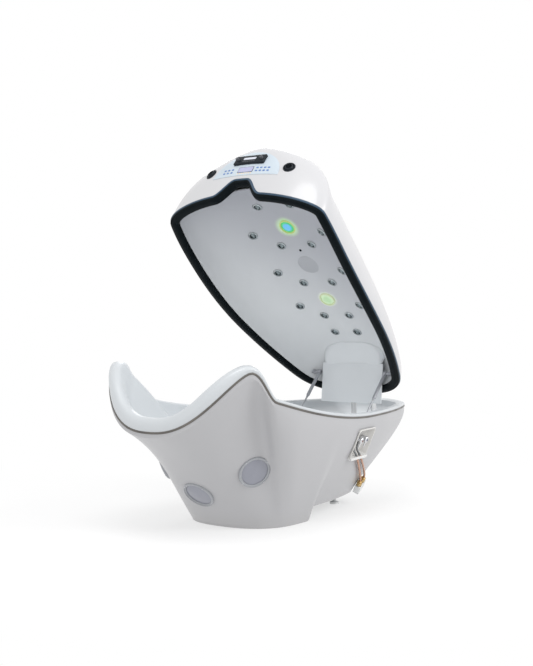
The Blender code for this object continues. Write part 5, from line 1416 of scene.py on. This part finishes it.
panel_blue = finish("panel_blue", (0.50, 0.57, 0.63), (0.47, 0.54, 0.60), (0.3, 0.4), patch=8.0, grain=500.0,
                    bump=0.03, Coat_Weight=0.2)
outline = [(PANEL_HALF * math.cos(t), PANEL_LOW_Z + PANEL_TALL * math.sin(t))
           for t in np.linspace(0.0, math.pi, PANEL_ARC_POINTS)]
outline += [(y, PANEL_LOW_Z) for y in np.linspace(-PANEL_HALF, PANEL_HALF, PANEL_EDGE_POINTS)[1:-1]]
sheet = draped("panel_sheet", outline, PANEL_HUB, -PANEL_BITE, PANEL_BITE + PANEL_PROUD)
dress(sheet, panel_blue, "lid", "panel_blue", "control_fascia")
dress(draped("display_frame", screen_outline(SCREEN_FRAME, 0.006), SCREEN_AT, PANEL_PROUD - 0.0004, 0.0010),
      black, "lid", "black_plastic")
screen_glow = finish("display_glow", (0.36, 0.37, 0.52), (0.33, 0.34, 0.49), (0.10, 0.18), patch=40.0,
                     grain=500.0, bump=0.01, Coat_Weight=0.5, Emission_Color=(0.48, 0.46, 0.80, 1.0),
                     Emission_Strength=0.12)
dress(draped("display_glass", screen_outline(0.0, 0.004), SCREEN_AT, PANEL_PROUD + 0.0002, 0.0014),
      screen_glow, "lid", "lilac_lens", "display_window")
key_blue = finish("key_blue", (0.10, 0.20, 0.46), (0.08, 0.16, 0.40), (0.35, 0.45), patch=90.0, grain=700.0)
key_wide, key_tall, key_high = KEY_SIZE
key = pad("key", key_wide, key_tall, 0.0024, ((0.0, -0.0006), (0.0, 0.0008), (0.0006, key_high),
                                              (0.002, key_high + 0.0002)))
places = [seat(*on_head_wall(y, z, PANEL_PROUD)) for y in KEY_COLUMNS for z in KEY_ROWS]
dress(open_lid(repeat("panel_keys", key, places, key_blue)), key_blue, "lid", "panel_blue")
amber = finish("indicator_amber", (0.75, 0.42, 0.10), (0.70, 0.36, 0.08), (0.1, 0.2), patch=90.0, grain=700.0,
               bump=0.02, Emission_Color=(0.9, 0.5, 0.12, 1.0), Emission_Strength=0.6)
bead_lamp = turn("indicator", [(0.0, -0.001), (0.0022, -0.001), (0.0022, 0.0006), (0.0016, 0.0016),
                               (0.0, 0.0020)], Matrix.Identity(4), segments=16)
places = [seat(*on_head_wall(INDICATOR_STEP * k, INDICATOR_Z, PANEL_PROUD)) for k in INDICATORS]
dress(open_lid(repeat("panel_indicators", bead_lamp, places, amber)), amber, "lid", "led_lens")

# Radio: a car-radio case of black plastic let into the panel, with a silvery display, a row of station keys
# and a turned knob with fine flutes at each end.
RADIO_ROUND = 0.005
RADIO_GLASS = (0.078, 0.015)
STATION_KEYS = 6
STATION_KEY = (0.0105, 0.0065)
STATION_STEP = 0.0135
STATION_DOWN = -0.0165
KNOB_FLUTES = 28
FLUTE_DIP = 0.035

radio_turn = frame_along(joints["knob_turn_left"]["axis"])
low, high = local_box("radio_body", radio_turn)
radio_face = radio_turn @ shift(0.5 * (low[0] + high[0]), 0.5 * (low[1] + high[1]), high[2])
dress(softened("radio_case", "radio_body", RADIO_ROUND), black, "lid", "black_plastic", "radio_body")
silver_glass = finish("radio_display", (0.52, 0.54, 0.60), (0.46, 0.48, 0.55), (0.12, 0.2), patch=60.0,
                      grain=500.0, bump=0.01, Coat_Weight=0.5, Emission_Color=(0.70, 0.72, 0.80, 1.0),
                      Emission_Strength=0.15)
glass = pad("radio_glass", *RADIO_GLASS, 0.004, ((0.0, -0.002), (0.0, 0.0006), (0.0012, 0.0014)),
            radio_face @ shift(y=0.004))
dress(settle(glass), silver_glass, "lid", "lilac_lens")
key = pad("key", *STATION_KEY, 0.0015, ((0.0, -0.001), (0.0, 0.0012), (0.0006, 0.0018)))
places = [radio_face @ shift(STATION_STEP * (k - 0.5 * (STATION_KEYS - 1)), STATION_DOWN)
          for k in range(STATION_KEYS)]
key_grey = finish("key_grey", (0.05, 0.056, 0.065), (0.035, 0.04, 0.048), (0.35, 0.45), patch=90.0,
                  grain=700.0)
dress(repeat("station_keys", key, places, key_grey), key_grey, "lid", "black_plastic")
for name in ("left", "right"):
    body = "radio_knob_" + name
    low, high = local_box(body, radio_turn)
    knob_long = high[2] - low[2]
    knob_wide = 0.5 * (high[0] - low[0])
    spot = radio_turn @ shift(*(0.5 * (low + high)[:2]), low[2])
    rings = [waved(knob_wide * share, height, 4 * KNOB_FLUTES, dip, KNOB_FLUTES) for share, height, dip in (
        (1.0, 0.0, 0.0), (1.0, 0.0012, 0.0), (0.97, 0.0016, FLUTE_DIP), (0.90, knob_long - 0.0012, FLUTE_DIP),
        (0.84, knob_long - 0.0003, 0.0), (0.55, knob_long - 0.0006, 0.0))]
    knob = settle(loft("tuning_knob_" + name, rings, ends=True, place=spot), sharp=40.0)
    dress(knob, key_grey, body, "black_plastic", body)
    mark = pad("knob_mark_" + name, 0.0012, 0.5 * knob_wide, 0.0005,
               ((0.0, knob_long - 0.001), (0.0, knob_long + 0.0002)), spot @ shift(y=0.6 * knob_wide))
    dress(mark, white_bezel, body, "white_gloss")

# Face vents: a black plastic ring in the lid on each side of the panel holding an eyeball with three slats,
# which turns up and down to send cool air at the face.
VENT_TOWARDS = (-1.0, 0.0, 0.3)
VENT_ROLL = 0.0035
VENT_FIT = 0.0003
VENT_BORE = (-0.04, 0.05)
VENT_MOUTH = 0.0165
VENT_FLOOR = 0.006
SLAT_THICK = 0.0014
SLAT_TOP = 0.0175
SLAT_LEVELS = (-0.5, 0.0, 0.5)

dome_cutters = []
for name in ("left", "right"):
    place = turned_place("vent_ring_" + name, VENT_TOWARDS)
    outer, inner, tall = turned_size("vent_ring_" + name, place)
    dome_cutters.append(drill(opened.inverted() @ place, outer + VENT_FIT, VENT_BORE, segments=56))
    ring = turn("vent_bezel_" + name, [(inner, 0.0), (outer, 0.0), (outer, tall - VENT_ROLL)]
                + arc(VENT_ROLL, (outer - VENT_ROLL, tall - VENT_ROLL), 10.0, 90.0, 6)
                + [(inner + 0.0025, tall), (inner + 0.0006, tall - 0.0012), (inner, tall - 0.004)], place,
                segments=72)
    dress(ring, black, "lid", "black_plastic", "vent_ring_" + name)
    body = "vent_ball_" + name
    spot = place.copy()
    spot.translation = Vector(joints["vent_turn_" + name]["pos_m"])
    ball_wide = inner - 0.0004
    brink = math.degrees(math.acos(VENT_MOUTH / ball_wide))
    parts = [turn("ball", [(0.0, -ball_wide)] + arc(ball_wide, (0.0, 0.0), -88.0, brink, 22)
                  + [(VENT_MOUTH - 0.0012, VENT_FLOOR), (0.0, VENT_FLOOR)], spot, segments=72)]
    for level in SLAT_LEVELS:
        half = math.sqrt(1.0 - level * level) * VENT_MOUTH - 0.0008
        parts.append(block("slat", 2.0 * half, SLAT_THICK, VENT_FLOOR - 0.001, SLAT_TOP,
                           spot @ shift(y=level * VENT_MOUTH)))
    dress(joined("vent_eyeball_" + name, parts), black, body, "black_plastic", body)

# Foot board: a light laminate board across the foot of the lid that keeps the feet off the hinge, with a
# moulded hood from its upper edge back onto the lining.
BOARD_ROUND = 0.003
BOARD_TOP = (0.6740, 0.6715)
HOOD_END_X = 0.592
HOOD_HALF = 0.203
HOOD_ROUND = 2.8
HOOD_LAST = 0.985
HOOD_FLAT = 8
HOOD_GAP = 0.0006
HOOD_WALL = 0.003
HOOD_ROWS = 24
HOOD_COLUMNS = 48


def lining_over(x, y=0.0):
    """Point of the lining over a place on the floor."""
    return touch(liner_skin, (x, y, 0.0), (0.0, 0.0, 1.0))[0]


board_grey = finish("board_grey", (0.745, 0.77, 0.79), (0.72, 0.745, 0.764), (0.35, 0.45), patch=4.0,
                    grain=420.0, bump=0.04)
dress(softened("foot_rest", "foot_board", BOARD_ROUND), board_grey, "lid", "satin_grey", "foot_board")
end_z = lining_over(HOOD_END_X).z
grid = []
for row in range(HOOD_ROWS + 1):
    share = HOOD_LAST * row / HOOD_ROWS
    x = BOARD_TOP[0] + (HOOD_END_X - BOARD_TOP[0]) * share
    drop = lining_over(x).z - BOARD_TOP[1] - (end_z - BOARD_TOP[1]) * share
    half = HOOD_HALF * (1.0 - share ** HOOD_ROUND) ** (1.0 / HOOD_ROUND)
    for column in range(HOOD_COLUMNS + 1):
        across = 2.0 * column / HOOD_COLUMNS - 1.0
        point = lining_over(x, across * half)
        grid.append((x, point.y, point.z - HOOD_GAP - drop * math.sqrt(1.0 - across ** HOOD_FLAT)))
wide = HOOD_COLUMNS + 1
mesh = bpy.data.meshes.new("board_hood")
mesh.from_pydata(grid, [], [(r * wide + c, r * wide + c + 1, (r + 1) * wide + c + 1, (r + 1) * wide + c)
                            for r in range(HOOD_ROWS) for c in range(HOOD_COLUMNS)])
hood = add("board_hood", mesh)
thicken(hood, HOOD_WALL, offset=0.0)
dress(open_lid(settle(hood, sharp=50.0)), board_grey, "lid", "satin_grey")

# Hinge: two white-painted steel lugs on the deck, a pair of arms on the lid that pass through its skins, and
# one bright steel pin with a head at each end.
PIN_RADIUS = 0.008
PIN_HEAD_RADIUS = 0.013
PIN_HEAD = 0.006
PIN_CHAMFER = 0.002
ARM_ROUND = 0.0015
LUG_ROUND = 0.0018
ARM_SLOT = (0.14, 0.012)
ARM_SLOT_DEEP = 0.042
ARM_SLOT_X = 0.81
ARM_Y = 0.0567

lug_white = finish("lug_white", (0.74, 0.745, 0.75), (0.69, 0.695, 0.70), (0.35, 0.45), patch=14.0,
                   grain=500.0, bump=0.08)
dress(softened("hinge_arms", "hinge_arm", ARM_ROUND), lug_white, "lid", "steel", "hinge_arm")
for name in ("left", "right"):
    lug = softened("hinge_lug_" + name, "hinge_bracket_" + name, LUG_ROUND)
    dress(lug, lug_white, "base", "steel", "hinge_bracket_" + name)
crosswise = frame_along((0.0, 1.0, 0.0))
low, high = local_box("hinge_pin", crosswise)
pin_end = 0.5 * (high[2] - low[2])
pin_half = pin_end - PIN_HEAD
end = [(0.0, pin_end), (PIN_HEAD_RADIUS - PIN_CHAMFER, pin_end), (PIN_HEAD_RADIUS, pin_end - PIN_CHAMFER),
       (PIN_HEAD_RADIUS, pin_half), (PIN_RADIUS, pin_half)]
pin = turn("hinge_rod", [(radius, -height) for radius, height in end] + end[::-1],
           Matrix.Translation(hinge_at) @ crosswise, segments=40)
dress(pin, steel, "lid", "chrome", "hinge_pin")
slot_steps = ((0.0, -0.5 * ARM_SLOT_DEEP), (0.0, 0.5 * ARM_SLOT_DEEP))
for y in (-ARM_Y, ARM_Y):
    for cutters in (dome_cutters, liner_cutters):
        cutters.append(pad("slot", *ARM_SLOT, 0.003, slot_steps, shift(ARM_SLOT_X, y, hinge_at.z)))

# Gas struts: a bright rod pivoted on a bracket in the tub slides in a grey-painted tube pivoted on a button
# on the lining; the tube's nose carries the gland.
ROD_RADIUS = 0.005
ROD_LONG = 0.20
TUBE_RADIUS = 0.010
TUBE_BORE = ROD_RADIUS + 0.0003
TUBE_LONG = 0.19
TUBE_END = 0.012
NOSE_RADIUS = 0.007
EYE_RADIUS = 0.014
EYE_HALF = 0.0105
EYE_CHAMFER = 0.001
EYE_BITE = 0.003
STUD_HOLE = 0.0063
BRACKET_ROUND = 0.0012
BUTTON_ROUND = 0.0010


def strut_eye(at):
    """Round eye of a strut about a pivot across the capsule."""
    edge = [(STUD_HOLE, EYE_HALF), (EYE_RADIUS - EYE_CHAMFER, EYE_HALF), (EYE_RADIUS, EYE_HALF - EYE_CHAMFER)]
    return turn("eye", [(radius, -height) for radius, height in edge] + edge[::-1],
                Matrix.Translation(at) @ crosswise, segments=40)


tube_grey = finish("strut_grey", (0.40, 0.41, 0.44), (0.34, 0.35, 0.38), (0.3, 0.42), patch=20.0, grain=600.0,
                   Metallic=0.3)
for name in ("left", "right"):
    way = Vector(joints["strut_slide_" + name]["axis"]).normalized()
    pivot = Vector(joints["strut_turn_" + name]["pos_m"])
    reach = ((corners_of("strut_tube_" + name) - np.array(pivot)) @ np.array(way)).max() - EYE_RADIUS
    place = seat(pivot, way)
    neck = EYE_RADIUS - EYE_BITE
    top = reach - neck
    rod = turn("rod", [(0.0, neck), (ROD_RADIUS, neck), (ROD_RADIUS, ROD_LONG - 0.001),
                       (ROD_RADIUS - 0.001, ROD_LONG), (0.0, ROD_LONG)], place, segments=32)
    body = "strut_rod_" + name
    dress(joined("strut_piston_" + name, [strut_eye(pivot), rod]), steel, body, "steel", body)
    nose = top - TUBE_LONG
    collar = nose + TUBE_END
    sleeve = turn("sleeve", [(0.0, top - TUBE_END), (TUBE_BORE, top - TUBE_END), (TUBE_BORE, nose),
                             (NOSE_RADIUS - 0.0006, nose), (NOSE_RADIUS, nose + 0.0006),
                             (NOSE_RADIUS, collar), (TUBE_RADIUS - 0.0015, collar),
                             (TUBE_RADIUS, collar + 0.0015), (TUBE_RADIUS, top - 0.003),
                             (TUBE_RADIUS - 0.003, top), (0.0, top)], place, segments=40)
    body = "strut_tube_" + name
    barrel = joined("strut_sleeve_" + name, [sleeve, strut_eye(pivot + way * reach)])
    dress(barrel, tube_grey, body, "steel", body)
    bracket = softened("strut_foot_" + name, "strut_bracket_" + name, BRACKET_ROUND)
    dress(bracket, steel, "base", "steel", "strut_bracket_" + name)
    stud = softened("strut_stud_" + name, "strut_button_" + name, BUTTON_ROUND)
    dress(stud, tube_grey, "lid", "steel", "strut_button_" + name)

cut(liner, liner_cutters)
dress(open_lid(liner), lit_lining(), "lid", "satin_grey", "lid_liner")
cut(dome, dome_cutters)
dress(open_lid(dome), lid_white, "lid", "white_gloss", "lid_shell")

# Studio: a pale floor that fades into white, a broad soft key from the near side, and weaker lights low in
# front, above the head end and behind.
# The camera stands at the head end, low and level, as the photograph was taken.
CAMERA_AT = (-4.957, -3.381, 1.038)
CAMERA_WAY = (0.8176, 0.5757, -0.0129)
CAMERA_LENS = 60.0
FLOOR_HALF = 30.0
FLOOR_DOWN = -0.0005
SHADOW_NEAR = 1.2
SHADOW_FAR = 2.6
FLOOR_GLOW = 0.6
WHITE = (1.0, 1.0, 1.0, 1.0)
AMBIENT = 0.82
LIGHTS_AIM = (0.0, 0.0, 0.7)
LIGHTS = (("key", (0.6, -5.0, 3.4), 2.8, 125.0), ("fill", (-4.4, 0.2, 0.6), 2.2, 14.0),
          ("top", (-1.9, -0.8, 4.6), 2.4, 60.0), ("back", (2.8, 2.4, 3.6), 2.2, 30.0))


def floor_finish():
    """White floor: matt near the object, where its shadow falls, and plain white further off."""
    material = bpy.data.materials.new("studio_floor")
    material.use_nodes = True
    tree = material.node_tree
    shader = tree.nodes["Principled BSDF"]
    for key, value in (("Base Color", (0.93, 0.93, 0.93, 1.0)), ("Roughness", 0.9),
                       ("Specular IOR Level", 0.0)):
        shader.inputs[key].default_value = value
    fade = ramp(tree, away_from(tree, where(tree), (0.0, 0.0, 0.0)), SHADOW_NEAR, SHADOW_FAR)
    glow = wire(tree, "ShaderNodeEmission", {"Color": WHITE, "Strength": 1.0})
    mixed = wire(tree, "ShaderNodeMixShader", {0: ramp(tree, fade, 0.0, 1.0, FLOOR_GLOW, 1.0, "LINEAR"),
                                               1: shader.outputs["BSDF"], 2: glow.outputs["Emission"]})
    tree.links.new(mixed.outputs["Shader"], tree.nodes["Material Output"].inputs["Surface"])
    return material


floor_mesh = bpy.data.meshes.new("studio_floor")
floor_mesh.from_pydata([(x * FLOOR_HALF, y * FLOOR_HALF, FLOOR_DOWN)
                        for x, y in ((-1, -1), (1, -1), (1, 1), (-1, 1))], [], [(0, 1, 2, 3)])
floor = add("studio_floor", floor_mesh)
floor.data.materials.append(floor_finish())

world = bpy.data.worlds.new("studio")
bpy.context.scene.world = world
world.use_nodes = True
tree = world.node_tree
path = wire(tree, "ShaderNodeLightPath")
seen = path.outputs["Is Camera Ray"]
for kind in ("Is Glossy Ray", "Is Transmission Ray"):
    either = wire(tree, "ShaderNodeMath", {0: seen, 1: path.outputs[kind]}, operation="MAXIMUM")
    seen = either.outputs["Value"]
sky = tree.nodes["Background"]
sky.inputs["Color"].default_value = WHITE
tree.links.new(ramp(tree, seen, 0.0, 1.0, AMBIENT, 1.0, "LINEAR"), sky.inputs["Strength"])

for name, at, wide, power in LIGHTS:
    lamp = bpy.data.lights.new(name, "AREA")
    lamp.shape = "DISK"
    lamp.size = wide
    lamp.energy = power
    lantern = add(name, lamp)
    lantern.location = at
    lantern.rotation_euler = (Vector(LIGHTS_AIM) - Vector(at)).to_track_quat("-Z", "Y").to_euler()

camera = add("camera", bpy.data.cameras.new("camera"))
camera.data.lens = CAMERA_LENS
camera.location = CAMERA_AT
camera.rotation_euler = Vector(CAMERA_WAY).to_track_quat("-Z", "Y").to_euler()
bpy.context.scene.camera = camera
bpy.context.scene.view_settings.view_transform = "Standard"
